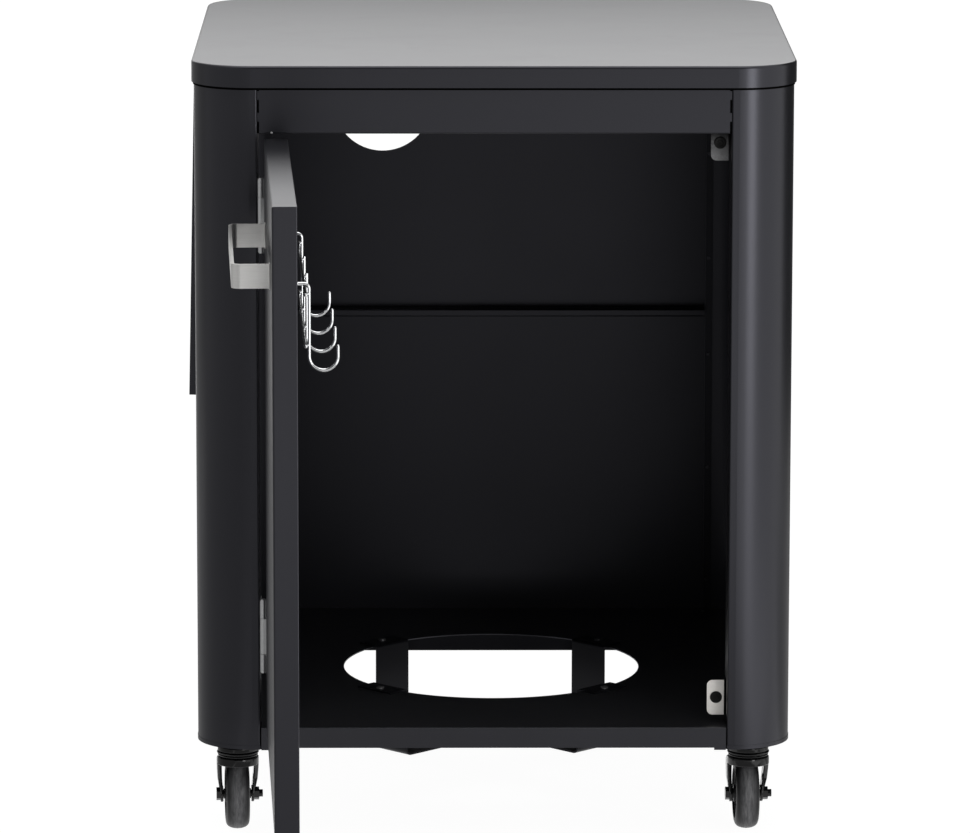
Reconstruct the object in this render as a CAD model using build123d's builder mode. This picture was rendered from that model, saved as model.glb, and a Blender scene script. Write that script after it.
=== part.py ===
"""Grill cart: a sheet-steel cabinet with an inset door, on four swivel casters.

The frame has its origin on the ground under the middle of the cabinet.  +Z is up and the door
is on the -Y side, stored standing open.  All sizes are millimetres.
"""
import os
from math import asin, cos, radians, sin

from build123d import *

os.makedirs("parts", exist_ok=True)

# Overall sizes
TOP_W = 640.0
TOP_D = 622.0
HEIGHT = 842.0
WHEEL_R = 38.0

# Sheet and fits
SHEET = 1.2
TOP_SHEET = 1.5
BEND = 2.0
RUN_FIT = 0.05
FREE_GAP = 0.4
SCREW_FIT = 0.1

# Worktop
TOP_R = 64.0
LIP_H = 23.0
LIP_EDGE = 3.0

# Cabinet shell
OVER_SIDE = 2.5
OVER_FRONT = 4.5
CORNER_STEP = 4.0
CASTER_ROOM = 31.0
BODY_W = TOP_W - 2 * OVER_SIDE
BODY_D = TOP_D - 2 * OVER_FRONT
BODY_R = TOP_R - CORNER_STEP
BODY_BASE = 2 * WHEEL_R + CASTER_ROOM
BODY_TOP = HEIGHT - TOP_SHEET
FRONT_Y = -BODY_D / 2
REAR_Y = BODY_D / 2
FLAT_X = BODY_W / 2 - BODY_R
POST_FACE = 8.5
OPEN_X = FLAT_X - POST_FACE
STOP_SET = 29.0
STOP_Y = FRONT_Y + STOP_SET
JAMB_D = 54.0
JAMB_RETURN = 12.0
JAMB_END_Y = FRONT_Y + JAMB_D

# Front rail under the worktop
RAIL_H = 70.5
RAIL_BASE = BODY_TOP - RAIL_H
RAIL_RETURN = 22.0
RAIL_LIP = 9.0
RAIL_GAP = 2.0
TAB_H = 9.0
TAB_D = 4.0
TAB_RISES = (13.0, 36.0)
TAB_ZS = [RAIL_BASE + rise for rise in TAB_RISES]

# Floor, bottle hole and base channels
FLOOR_RISE = 24.0
FLOOR_Z = BODY_BASE + FLOOR_RISE
FLOOR_FLANGE = 22.0
FLOOR_GAP = 1.0
FLOOR_CORNER_GAP = 1.0
FLOOR_R = BODY_R - SHEET + FLOOR_CORNER_GAP
LUG_W = 12.5
LUG_H = 2.4
CHANNEL_Z = FLOOR_Z - FLOOR_FLANGE
CHANNEL_W = 98.0
CHANNEL_SETBACK = 31.5
CHANNEL_OUT = BODY_D / 2 - CHANNEL_SETBACK
CHANNEL_IN = CHANNEL_OUT - CHANNEL_W
CHANNEL_GAP = 14.3
CHANNEL_HALF = BODY_W / 2 - SHEET - CHANNEL_GAP
BOTTLE_R = 164.0

# Bottle straps under the hole
STRAP_W = 50.0
STRAP_T = 2.0
STRAP_BEND = 7.0
STRAP_INSET = 6.0
STRAP_LAP = 19.0
STRAP_DROP = 73.0
STRAP_RISER = BOTTLE_R - STRAP_INSET
STRAP_END = BOTTLE_R + STRAP_LAP
STRAP_BASE = FLOOR_Z - STRAP_DROP
STRAP_SCREW_RING = BOTTLE_R + STRAP_LAP / 2
STRAP_SCREW_R = 2.4
STRAP_HEAD_R = 4.5
STRAP_HEAD_H = 2.2
STRAP_SCREW_LENGTH = 9.0

# Back panels
BACK_GAP = 1.5
BACK_HALF = FLAT_X - BACK_GAP
BACK_UPPER_H = 354.0
SEAM_Z = BODY_TOP - BACK_UPPER_H
SEAM_LEDGE = 22.0
SEAM_LIP = 9.0
SEAM_UNDER = 14.0
SEAM_HALF = OPEN_X - BACK_GAP
HOSE_R = 56.0
HOSE_X = -122.5
HOSE_DROP = 117.5
HOSE_Z = BODY_TOP - HOSE_DROP
RIVET_X = (OPEN_X + BACK_HALF) / 2
RIVET_R = 2.0
RIVET_HEAD_R = 3.5
RIVET_HEAD_H = 1.4
RIVET_LENGTH = 3.6
RIVET_END = 56.0
LOWER_RIVET_ZS = [CHANNEL_Z + RIVET_END, (CHANNEL_Z + SEAM_Z) / 2, SEAM_Z - RIVET_END]
UPPER_RIVET_ZS = [SEAM_Z + RIVET_END, (SEAM_Z + BODY_TOP) / 2, BODY_TOP - RIVET_END]

# Door stops on the right jamb
STOP_W = 20.5
STOP_H = 38.0
STOP_T = 1.5
STOP_LEG = 24.0
STOP_BEND = 2.5
STOP_R = 6.0
STOP_BUMPER_IN = 11.0
STOP_DROP = 13.0
STOP_RISE = 27.0
STOP_ZS = {"upper": RAIL_BASE - STOP_DROP, "lower": FLOOR_Z + STOP_RISE}
BUMPER_R = 5.75
BUMPER_H = 2.2

# Door, its hinge axis and how far it stands open
KNUCKLE_R = 3.75
AXIS_X = -OPEN_X + KNUCKLE_R
AXIS_PROUD = 3.0
AXIS_Y = FRONT_Y - AXIS_PROUD
OPEN_DEG = 87.6
DOOR_GAP = 2.0
DOOR_TOP_GAP = 4.0
DOOR_START = KNUCKLE_R
DOOR_END = OPEN_X - DOOR_GAP - AXIS_X
DOOR_BASE = FLOOR_Z + DOOR_GAP
DOOR_TOP = RAIL_BASE - DOOR_TOP_GAP
DOOR_T = 25.0
DOOR_INNER = AXIS_PROUD + DOOR_T
LINER_T = 2.2
LINER_EDGE = 1.0

# Door hinges
HINGE_H = 78.0
HINGE_TOP_IN = 82.0
HINGE_BASE_IN = 99.0
HINGE_ZS = {"upper": DOOR_TOP - HINGE_TOP_IN, "lower": DOOR_BASE + HINGE_BASE_IN}
HINGE_MID = 39.0
LEAF_W = 25.0
LEAF_T = 1.5
PIN_R = 1.9
PIN_HEAD_R = 2.7
PIN_HEAD_H = 1.0

# Handle
HANDLE_LENGTH = 270.0
HANDLE_MID = (DOOR_START + DOOR_END) / 2
HANDLE_H = 24.5
HANDLE_T = 3.0
HANDLE_OUT = 38.5
HANDLE_BEND = 9.0
HANDLE_DROP = 98.0
HANDLE_BASE = DOOR_TOP - HANDLE_DROP

# Hook rack on the inside of the door
WIRE_R = 1.75
HOOK_COUNT = 4
HOOK_FIRST = 80.0
HOOK_PITCH = 110.0
HOOK_SPOTS = [HOOK_FIRST + number * HOOK_PITCH for number in range(HOOK_COUNT)]
HOOK_STANDOFF = 13.0
HOOK_Y = DOOR_INNER + HOOK_STANDOFF
HOOK_DROP = 89.0
HOOK_TOP = DOOR_TOP - HOOK_DROP
HOOK_BEND = 5.0
HOOK_SHANK = 72.5
HOOK_LOOP_R = 14.25
HOOK_LOOP_Z = HOOK_TOP - HOOK_SHANK
HOOK_TIP = 9.5
ROD_Y = HOOK_Y - 2 * WIRE_R
ROD_DROP = 10.5
ROD_SPACING = 51.5
ROD_ZS = {"upper": HOOK_TOP - ROD_DROP, "lower": HOOK_TOP - ROD_DROP - ROD_SPACING}
ROD_END = 6.0

# Casters
CASTER_SIDE_IN = 42.5
CASTER_END_IN = 30.0
CASTER_X = BODY_W / 2 - CASTER_SIDE_IN
CASTER_Y = CHANNEL_OUT - CASTER_END_IN
CASTER_TURN = {"front_left": 4.0, "front_right": 2.0, "rear_left": 0.0, "rear_right": -3.0}
PLATE_W = 56.0
PLATE_T = 2.5
PLATE_R = 6.0
PLATE_BOLT = 21.0
PLATE_BOLT_R = 2.9
PLATE_BOLT_LENGTH = 8.0
PLATE_NUT_H = 4.0
RACE_R = 21.8
RACE_H = 14.0
RACE_CUP_H = 6.0
RACE_EDGE = 1.6
NECK_R = 20.0
SEAL_R = 19.5
SEAL_H = 5.0
KINGPIN_R = 5.0
KINGPIN_HEAD_R = 8.0
KINGPIN_HEAD_H = 3.0
TRAIL = 26.0
TYRE_W = 25.5
TYRE_SHOULDER = 6.0
FORK_T = 3.0
FORK_CLEAR = 2.4
FORK_SPLAY = 4.4
FORK_EDGE = 2.0
FORK_SKIRT_H = 6.0
FORK_FOOT_R = 9.0
KNEE_RISE = 8.0
KNEE_BACK = 22.0
KNEE_D = 20.0
RIM_R = 27.0
RIM_W = 21.0
RIM_WALL = 4.0
RIM_DISH = 4.0
BOSS_R = 9.0
BOSS_PROUD = 0.6
SLEEVE_R = 5.5
AXLE_R = 4.0
AXLE_HEX_R = 7.2
AXLE_HEAD_H = 4.4
AXLE_NUT_H = 5.5
AXLE_STUB = 4.0

# Folding side shelf on the left
SHELF_KNUCKLE_R = 2.5
SHELF_AXIS_OUT = 3.0
SHELF_DROP = 7.0
SHELF_AXIS_Z = HEIGHT - LIP_H - SHELF_DROP
SHELF_LENGTH = 346.0
SHELF_W = 320.0
SHELF_GAP = 4.0
SHELF_EDGE = 8.5
SHELF_TOP_EDGE = 1.8
SHELF_HINGE_IN = 55.0
SHELF_HINGE_Y = SHELF_W / 2 - SHELF_HINGE_IN
SHELF_PIN_R = 1.3
SHELF_KNUCKLE = 30.0
SHELF_EAR = 15.0
SHELF_PLATE_H = 22.0
BUFFER_R = 6.0
BUFFER_H = 1.5
BUFFER_IN = 40.0
BUFFER_RISE = 4.0
BUFFER_Y = SHELF_W / 2 - BUFFER_IN
BUFFER_Z = SHELF_AXIS_Z - SHELF_LENGTH + BUFFER_RISE
LEAN = asin((SHELF_EDGE + BUFFER_H + FREE_GAP - SHELF_AXIS_OUT) / SHELF_LENGTH)

# Placing planes
DOOR = Plane(
    origin=(AXIS_X, AXIS_Y, 0),
    x_dir=(cos(radians(OPEN_DEG)), -sin(radians(OPEN_DEG)), 0),
    z_dir=(0, 0, 1),
)
FRAME_HINGE = Plane(origin=(AXIS_X, AXIS_Y, 0))
SHELF_AXIS_X = -BODY_W / 2 - SHELF_AXIS_OUT
SHELF = Plane(
    origin=(SHELF_AXIS_X, 0, SHELF_AXIS_Z),
    x_dir=(-sin(LEAN), 0, -cos(LEAN)),
    z_dir=(cos(LEAN), 0, -sin(LEAN)),
)
CASTER_SPOTS = {
    "front_left": (-CASTER_X, -CASTER_Y),
    "front_right": (CASTER_X, -CASTER_Y),
    "rear_left": (-CASTER_X, CASTER_Y),
    "rear_right": (CASTER_X, CASTER_Y),
}
LOW = (Align.MIN, Align.MIN)
LOW3 = (Align.MIN, Align.MIN, Align.MIN)
STAND = (Align.CENTER, Align.CENTER, Align.MIN)
HANG = (Align.CENTER, Align.CENTER, Align.MAX)


def save(builder: BuildPart, name: str) -> None:
    """Label one piece and write it out."""
    builder.part.label = name
    export_step(builder.part, f"parts/{name}.step")


def corner(builder: BuildSketch, x: float, y: float) -> Vertex:
    """The sketch corner nearest a point of the sketch's own plane."""
    return builder.vertices().sort_by_distance((x, y, 0))[0]


# Worktop: a drawn tray with a rolled edge, open underneath
with BuildPart() as top_panel:
    with BuildSketch(Plane.XY.offset(HEIGHT - LIP_H)):
        RectangleRounded(TOP_W, TOP_D, TOP_R)
    extrude(amount=LIP_H)
    fillet(top_panel.edges().group_by(Axis.Z)[-1], LIP_EDGE)
    with BuildSketch(Plane.XY.offset(HEIGHT - LIP_H)):
        RectangleRounded(TOP_W - 2 * TOP_SHEET, TOP_D - 2 * TOP_SHEET, TOP_R - TOP_SHEET)
    extrude(amount=LIP_H - TOP_SHEET, mode=Mode.SUBTRACT)
save(top_panel, "top_panel")

# Side panels: one sheet each, from the rear flange round both corners to the door jamb
for name, hand in (("left_side_panel", -1), ("right_side_panel", 1)):
    with BuildPart() as side_panel:
        with BuildSketch(Plane.XY.offset(BODY_BASE)) as side_plan:
            RectangleRounded(BODY_W, BODY_D, BODY_R)
            RectangleRounded(BODY_W - 2 * SHEET, BODY_D - 2 * SHEET, BODY_R - SHEET, mode=Mode.SUBTRACT)
            with Locations((OPEN_X, 0)):
                Rectangle(BODY_W, BODY_D, align=(Align.MAX, Align.CENTER), mode=Mode.SUBTRACT)
            with Locations((OPEN_X, FRONT_Y)):
                Rectangle(SHEET, JAMB_D, align=LOW)
            with Locations((OPEN_X, JAMB_END_Y)):
                Rectangle(JAMB_RETURN, SHEET, align=(Align.MIN, Align.MAX))
            fillet(corner(side_plan, OPEN_X, FRONT_Y), BEND)
            fillet(corner(side_plan, OPEN_X + SHEET, FRONT_Y + SHEET), BEND - SHEET)
            fillet(corner(side_plan, OPEN_X, JAMB_END_Y), BEND)
            fillet(corner(side_plan, OPEN_X + SHEET, JAMB_END_Y - SHEET), BEND - SHEET)
            if hand < 0:
                mirror(about=Plane.YZ, mode=Mode.REPLACE)
        extrude(amount=BODY_TOP - BODY_BASE)
        with Locations((hand * OPEN_X, STOP_Y, BODY_BASE)):
            Box(
                4 * JAMB_RETURN,
                JAMB_D,
                FLOOR_Z - BODY_BASE,
                align=(Align.CENTER, Align.MIN, Align.MIN),
                mode=Mode.SUBTRACT,
            )
        with Locations(*[(hand * RIVET_X, REAR_Y, z) for z in LOWER_RIVET_ZS + UPPER_RIVET_ZS]):
            Cylinder(RIVET_R + SCREW_FIT, 4 * SHEET, rotation=(90, 0, 0), mode=Mode.SUBTRACT)
    save(side_panel, name)

# Front rail: a channel between the posts, with weld tabs at its ends
RAIL_HALF = OPEN_X - RAIL_GAP
with BuildPart() as front_rail:
    with BuildSketch(Plane.YZ) as rail_section:
        with Locations((FRONT_Y, RAIL_BASE)):
            Rectangle(SHEET, BODY_TOP - RAIL_BASE, align=LOW)
            Rectangle(RAIL_RETURN, SHEET, align=LOW)
        with Locations((FRONT_Y + RAIL_RETURN, RAIL_BASE)):
            Rectangle(SHEET, RAIL_LIP, align=(Align.MAX, Align.MIN))
        with Locations((FRONT_Y, BODY_TOP)):
            Rectangle(RAIL_RETURN, SHEET, align=(Align.MIN, Align.MAX))
        fillet(corner(rail_section, FRONT_Y, RAIL_BASE), BEND)
        fillet(corner(rail_section, FRONT_Y + SHEET, RAIL_BASE + SHEET), BEND - SHEET)
        fillet(corner(rail_section, FRONT_Y + RAIL_RETURN, RAIL_BASE), BEND)
    extrude(amount=RAIL_HALF, both=True)
    with Locations(*[(RAIL_HALF, FRONT_Y, z) for z in TAB_ZS]):
        Box(RAIL_GAP, TAB_D, TAB_H, align=LOW3)
    with Locations(*[(-OPEN_X, FRONT_Y, z) for z in TAB_ZS]):
        Box(RAIL_GAP, TAB_D, TAB_H, align=LOW3)
save(front_rail, "front_rail")

# Floor: a sheet with the bottle hole and a turned-down front flange
FLOOR_FRONT_HALF = OPEN_X - FLOOR_GAP
with BuildPart() as floor_panel:
    with BuildSketch(Plane.XY.offset(FLOOR_Z - SHEET)):
        RectangleRounded(BODY_W - 2 * SHEET, BODY_D - 2 * SHEET, FLOOR_R)
        with Locations((FLOOR_FRONT_HALF, FRONT_Y)):
            Rectangle(BODY_W, STOP_SET + FREE_GAP, align=LOW, mode=Mode.SUBTRACT)
        with Locations((-FLOOR_FRONT_HALF, FRONT_Y)):
            Rectangle(BODY_W, STOP_SET + FREE_GAP, align=(Align.MAX, Align.MIN), mode=Mode.SUBTRACT)
        Circle(BOTTLE_R, mode=Mode.SUBTRACT)
        with PolarLocations(STRAP_SCREW_RING, 4, start_angle=45):
            Circle(STRAP_SCREW_R + SCREW_FIT, mode=Mode.SUBTRACT)
    extrude(amount=SHEET)
    with BuildSketch(Plane.YZ) as flange_section:
        with Locations((FRONT_Y, CHANNEL_Z)):
            Rectangle(SHEET, FLOOR_FLANGE, align=LOW)
        fillet(corner(flange_section, FRONT_Y, FLOOR_Z), SHEET * 0.9)
    extrude(amount=FLOOR_FRONT_HALF, both=True)
    for side in (-1, 1):
        with Locations((side * (FLOOR_FRONT_HALF - LUG_W / 2), FRONT_Y, CHANNEL_Z)):
            Box(LUG_W, SHEET, LUG_H, align=(Align.CENTER, Align.MIN, Align.MAX))
save(floor_panel, "floor_panel")

# Base channels: they close under the floor and carry the casters
for name, hand in (("front_base_channel", -1), ("rear_base_channel", 1)):
    with BuildPart() as channel:
        with BuildSketch(Plane.YZ):
            with Locations((hand * (CHANNEL_IN + CHANNEL_OUT) / 2, CHANNEL_Z)):
                Rectangle(
                    CHANNEL_OUT - CHANNEL_IN, FLOOR_Z - SHEET - CHANNEL_Z, align=(Align.CENTER, Align.MIN)
                )
            with Locations((hand * (CHANNEL_IN + CHANNEL_OUT) / 2, CHANNEL_Z + SHEET)):
                Rectangle(
                    CHANNEL_OUT - CHANNEL_IN - 2 * SHEET,
                    FLOOR_FLANGE,
                    align=(Align.CENTER, Align.MIN),
                    mode=Mode.SUBTRACT,
                )
        extrude(amount=CHANNEL_HALF, both=True)
        with Locations((-CASTER_X, hand * CASTER_Y, CHANNEL_Z), (CASTER_X, hand * CASTER_Y, CHANNEL_Z)):
            with GridLocations(2 * PLATE_BOLT, 2 * PLATE_BOLT, 2, 2):
                Cylinder(PLATE_BOLT_R + SCREW_FIT, 4 * SHEET, mode=Mode.SUBTRACT)
    save(channel, name)

# Bottle straps: two U bands crossing under the hole, one lying on the other
for name, turn, base in (
    ("lower_bottle_strap", 45, STRAP_BASE),
    ("upper_bottle_strap", -45, STRAP_BASE + STRAP_T),
):
    strap_plane = Plane(
        origin=(0, 0, 0),
        x_dir=(cos(radians(turn)), sin(radians(turn)), 0),
        z_dir=(sin(radians(turn)), -cos(radians(turn)), 0),
    )
    with BuildPart() as strap:
        with BuildSketch(strap_plane) as strap_section:
            with Locations((0, base)):
                Rectangle(2 * STRAP_RISER, FLOOR_Z + STRAP_T - base, align=(Align.CENTER, Align.MIN))
            with Locations((0, base + STRAP_T)):
                Rectangle(
                    2 * (STRAP_RISER - STRAP_T), FLOOR_Z, align=(Align.CENTER, Align.MIN), mode=Mode.SUBTRACT
                )
            with Locations((-STRAP_END, FLOOR_Z)):
                Rectangle(STRAP_END - STRAP_RISER + STRAP_T, STRAP_T, align=LOW)
            with Locations((STRAP_END, FLOOR_Z)):
                Rectangle(STRAP_END - STRAP_RISER + STRAP_T, STRAP_T, align=(Align.MAX, Align.MIN))
            for side in (-1, 1):
                fillet(corner(strap_section, side * STRAP_RISER, base), STRAP_BEND)
                fillet(
                    corner(strap_section, side * (STRAP_RISER - STRAP_T), base + STRAP_T),
                    STRAP_BEND - STRAP_T,
                )
                fillet(
                    corner(strap_section, side * (STRAP_RISER - STRAP_T), FLOOR_Z + STRAP_T), STRAP_T * 1.5
                )
        extrude(amount=STRAP_W / 2, both=True)
        with PolarLocations(STRAP_SCREW_RING, 4, start_angle=45):
            with Locations((0, 0, FLOOR_Z)):
                Cylinder(STRAP_SCREW_R + SCREW_FIT, 4 * STRAP_T, mode=Mode.SUBTRACT)
    save(strap, name)

with BuildPart() as strap_screws:
    with PolarLocations(STRAP_SCREW_RING, 4, start_angle=45):
        with Locations((0, 0, FLOOR_Z + STRAP_T)):
            Cylinder(STRAP_HEAD_R, STRAP_HEAD_H, align=STAND)
            Cylinder(STRAP_SCREW_R, STRAP_SCREW_LENGTH, align=HANG)
    fillet(strap_screws.edges().group_by(Axis.Z)[-1], STRAP_HEAD_H * 0.5)
save(strap_screws, "strap_screws")

# Back panels, riveted on from behind: the lower one ends in a folded ledge under the upper one
with BuildPart() as back_upper_panel:
    with BuildSketch(Plane.XZ.offset(-REAR_Y)):
        with Locations((0, SEAM_Z)):
            Rectangle(2 * BACK_HALF, BODY_TOP - SEAM_Z, align=(Align.CENTER, Align.MIN))
        with Locations((HOSE_X, HOSE_Z)):
            Circle(HOSE_R, mode=Mode.SUBTRACT)
        with Locations(*[(hand * RIVET_X, z) for hand in (-1, 1) for z in UPPER_RIVET_ZS]):
            Circle(RIVET_R + SCREW_FIT, mode=Mode.SUBTRACT)
    extrude(amount=-SHEET)
save(back_upper_panel, "back_upper_panel")

with BuildPart() as back_lower_panel:
    with BuildSketch(Plane.YZ):
        with Locations((REAR_Y, CHANNEL_Z)):
            Rectangle(SHEET, SEAM_Z - CHANNEL_Z, align=LOW)
    extrude(amount=BACK_HALF, both=True)
    with BuildSketch(Plane.YZ) as ledge_section:
        with Locations((REAR_Y + SHEET, SEAM_Z)):
            Rectangle(SEAM_LEDGE + SHEET, SHEET, align=(Align.MAX, Align.MAX))
        with Locations((REAR_Y - SEAM_LEDGE, SEAM_Z)):
            Rectangle(SHEET, SEAM_LIP, align=(Align.MIN, Align.MAX))
        with Locations((REAR_Y - SEAM_LEDGE, SEAM_Z - SEAM_LIP)):
            Rectangle(SEAM_UNDER, SHEET, align=LOW)
        for rise in (0, -SEAM_LIP):
            fillet(corner(ledge_section, REAR_Y - SEAM_LEDGE, SEAM_Z + rise), BEND)
    extrude(amount=SEAM_HALF, both=True)
    with Locations(*[(hand * RIVET_X, REAR_Y, z) for hand in (-1, 1) for z in LOWER_RIVET_ZS]):
        Cylinder(RIVET_R + SCREW_FIT, 6 * SHEET, rotation=(90, 0, 0), mode=Mode.SUBTRACT)
save(back_lower_panel, "back_lower_panel")

RIVET_PLANES = [
    Plane(origin=(hand * RIVET_X, REAR_Y + SHEET, z), z_dir=(0, 1, 0))
    for hand in (-1, 1)
    for z in LOWER_RIVET_ZS + UPPER_RIVET_ZS
]
with BuildPart() as back_rivets:
    with Locations(*RIVET_PLANES):
        Cylinder(RIVET_HEAD_R, RIVET_HEAD_H, align=STAND)
        Cylinder(RIVET_R, RIVET_LENGTH, align=HANG)
save(back_rivets, "back_rivets")

# Door stops: plated angles welded to the right jamb, each with a round bumper
STOP_FACE_Y = STOP_Y - STOP_T
for name, z in STOP_ZS.items():
    with BuildPart() as stop_bracket:
        with BuildSketch(Plane.XY.offset(z - STOP_H / 2)) as stop_section:
            with Locations((OPEN_X, STOP_FACE_Y)):
                Rectangle(STOP_W, STOP_T, align=(Align.MAX, Align.MIN))
                Rectangle(STOP_T, STOP_LEG, align=(Align.MAX, Align.MIN))
            fillet(corner(stop_section, OPEN_X, STOP_FACE_Y), STOP_BEND)
            fillet(corner(stop_section, OPEN_X - STOP_T, STOP_Y), STOP_BEND - STOP_T)
        extrude(amount=STOP_H)
        fillet(stop_bracket.edges().filter_by(Axis.Y).group_by(Axis.X)[0], STOP_R)
    save(stop_bracket, f"{name}_stop_bracket")

BUMPER_PLANES = [
    Plane(origin=(OPEN_X - STOP_BUMPER_IN, STOP_FACE_Y, z), z_dir=(0, -1, 0)) for z in STOP_ZS.values()
]
with BuildPart() as stop_bumpers:
    with Locations(*BUMPER_PLANES):
        Cylinder(BUMPER_R, BUMPER_H, align=STAND)
save(stop_bumpers, "stop_bumpers")

# Door hinges: three knuckles each, the middle one on the door
KNUCKLE_CLEAR = KNUCKLE_R + FREE_GAP
EAR_H = (HINGE_H - HINGE_MID) / 2
for name, z in HINGE_ZS.items():
    with BuildPart(FRAME_HINGE) as frame_leaf:
        with Locations((-KNUCKLE_R, 0, z - HINGE_H / 2)):
            Box(LEAF_T, LEAF_W, HINGE_H, align=LOW3)
        with Locations((-KNUCKLE_R, 0, z)):
            Box(
                2 * LEAF_T,
                2 * KNUCKLE_CLEAR,
                HINGE_MID,
                mode=Mode.SUBTRACT,
            )
        with Locations((0, 0, z - HINGE_H / 2), (0, 0, z + HINGE_MID / 2)):
            Cylinder(KNUCKLE_R, EAR_H, align=STAND)
        with Locations((0, 0, z)):
            Cylinder(PIN_R + RUN_FIT, HINGE_H, mode=Mode.SUBTRACT)
    save(frame_leaf, f"{name}_hinge_frame_leaf")
    with BuildPart(DOOR) as door_leaf:
        with Locations((KNUCKLE_R - LEAF_T, 0, z - HINGE_H / 2)):
            Box(LEAF_T, LEAF_W, HINGE_H, align=LOW3)
        with Locations((KNUCKLE_R, 0, z - HINGE_H / 2), (KNUCKLE_R, 0, z + HINGE_H / 2)):
            Box(
                2 * LEAF_T,
                2 * KNUCKLE_CLEAR,
                2 * (EAR_H + FREE_GAP),
                mode=Mode.SUBTRACT,
            )
        with Locations((0, 0, z)):
            Cylinder(KNUCKLE_R, HINGE_MID - 2 * FREE_GAP)
            Cylinder(PIN_R + RUN_FIT, HINGE_H, mode=Mode.SUBTRACT)
    save(door_leaf, f"{name}_hinge_door_leaf")

with BuildPart(FRAME_HINGE) as hinge_pins:
    for z in HINGE_ZS.values():
        with Locations((0, 0, z)):
            Cylinder(PIN_R, HINGE_H)
        with Locations((0, 0, z + HINGE_H / 2)):
            Cylinder(PIN_HEAD_R, PIN_HEAD_H, align=STAND)
        with Locations((0, 0, z - HINGE_H / 2)):
            Cylinder(PIN_HEAD_R, PIN_HEAD_H, align=HANG)
save(hinge_pins, "hinge_pins")

# Door: a folded outer pan closed by a flat liner
DOOR_W = DOOR_END - DOOR_START
DOOR_H = DOOR_TOP - DOOR_BASE
PAN_D = DOOR_T - LINER_T
with BuildPart(DOOR) as door_pan:
    with Locations((DOOR_START, AXIS_PROUD, DOOR_BASE)):
        Box(DOOR_W, PAN_D, DOOR_H, align=LOW3)
    fillet(door_pan.faces().sort_by(Axis(DOOR.origin, DOOR.y_dir))[0].edges(), BEND)
    with Locations((DOOR_START + SHEET, AXIS_PROUD + SHEET, DOOR_BASE + SHEET)):
        Box(DOOR_W - 2 * SHEET, PAN_D, DOOR_H - 2 * SHEET, align=LOW3, mode=Mode.SUBTRACT)
save(door_pan, "door_pan")

with BuildPart(DOOR) as door_liner:
    with Locations((DOOR_START, DOOR_INNER - LINER_T, DOOR_BASE)):
        Box(DOOR_W, LINER_T, DOOR_H, align=LOW3)
    fillet(door_liner.faces().sort_by(Axis(DOOR.origin, DOOR.y_dir))[-1].edges(), LINER_EDGE)
save(door_liner, "door_liner")

# Handle: one flat strap bent to a shallow U
with BuildPart() as door_handle:
    with BuildSketch(DOOR.offset(HANDLE_BASE)) as handle_plan:
        with Locations((HANDLE_MID, AXIS_PROUD)):
            Rectangle(HANDLE_LENGTH, HANDLE_OUT, align=(Align.CENTER, Align.MAX))
            Rectangle(
                HANDLE_LENGTH - 2 * HANDLE_T,
                HANDLE_OUT - HANDLE_T,
                align=(Align.CENTER, Align.MAX),
                mode=Mode.SUBTRACT,
            )
        for side in (-1, 1):
            out_x = HANDLE_MID + side * HANDLE_LENGTH / 2
            fillet(corner(handle_plan, out_x, AXIS_PROUD - HANDLE_OUT), HANDLE_BEND)
            fillet(
                corner(handle_plan, out_x - side * HANDLE_T, AXIS_PROUD - HANDLE_OUT + HANDLE_T),
                HANDLE_BEND - HANDLE_T,
            )
    extrude(amount=HANDLE_H)
save(door_handle, "door_handle")

# Hook rack: two wire rods with four wire hooks welded across them
for name, z in ROD_ZS.items():
    rod_plane = Plane(origin=DOOR.from_local_coords((HOOK_SPOTS[0] - ROD_END, ROD_Y, z)), z_dir=DOOR.x_dir)
    with BuildPart() as rod:
        with BuildSketch(rod_plane):
            Circle(WIRE_R)
        extrude(amount=HOOK_SPOTS[-1] - HOOK_SPOTS[0] + 2 * ROD_END)
    save(rod, f"{name}_hook_rod")

for number, a in enumerate(HOOK_SPOTS, start=1):
    hook_plane = Plane(origin=DOOR.from_local_coords((a, 0, 0)), x_dir=DOOR.y_dir, z_dir=DOOR.x_dir)
    at_end = a in (HOOK_SPOTS[0], HOOK_SPOTS[-1])
    with BuildPart() as hook:
        with BuildLine(hook_plane) as hook_path:
            if at_end:
                FilletPolyline(
                    (DOOR_INNER, HOOK_TOP), (HOOK_Y, HOOK_TOP), (HOOK_Y, HOOK_LOOP_Z), radius=HOOK_BEND
                )
            else:
                Line((HOOK_Y, ROD_ZS["upper"] + 2 * WIRE_R), (HOOK_Y, HOOK_LOOP_Z))
            CenterArc((HOOK_Y + HOOK_LOOP_R, HOOK_LOOP_Z), HOOK_LOOP_R, 180, 180)
            Line(
                (HOOK_Y + 2 * HOOK_LOOP_R, HOOK_LOOP_Z),
                (HOOK_Y + 2 * HOOK_LOOP_R, HOOK_LOOP_Z + HOOK_TIP),
            )
        with BuildSketch(Plane(origin=hook_path.line @ 0, z_dir=hook_path.line % 0)):
            Circle(WIRE_R)
        sweep(path=hook_path.line)
    save(hook, f"hook_{number}")

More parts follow.
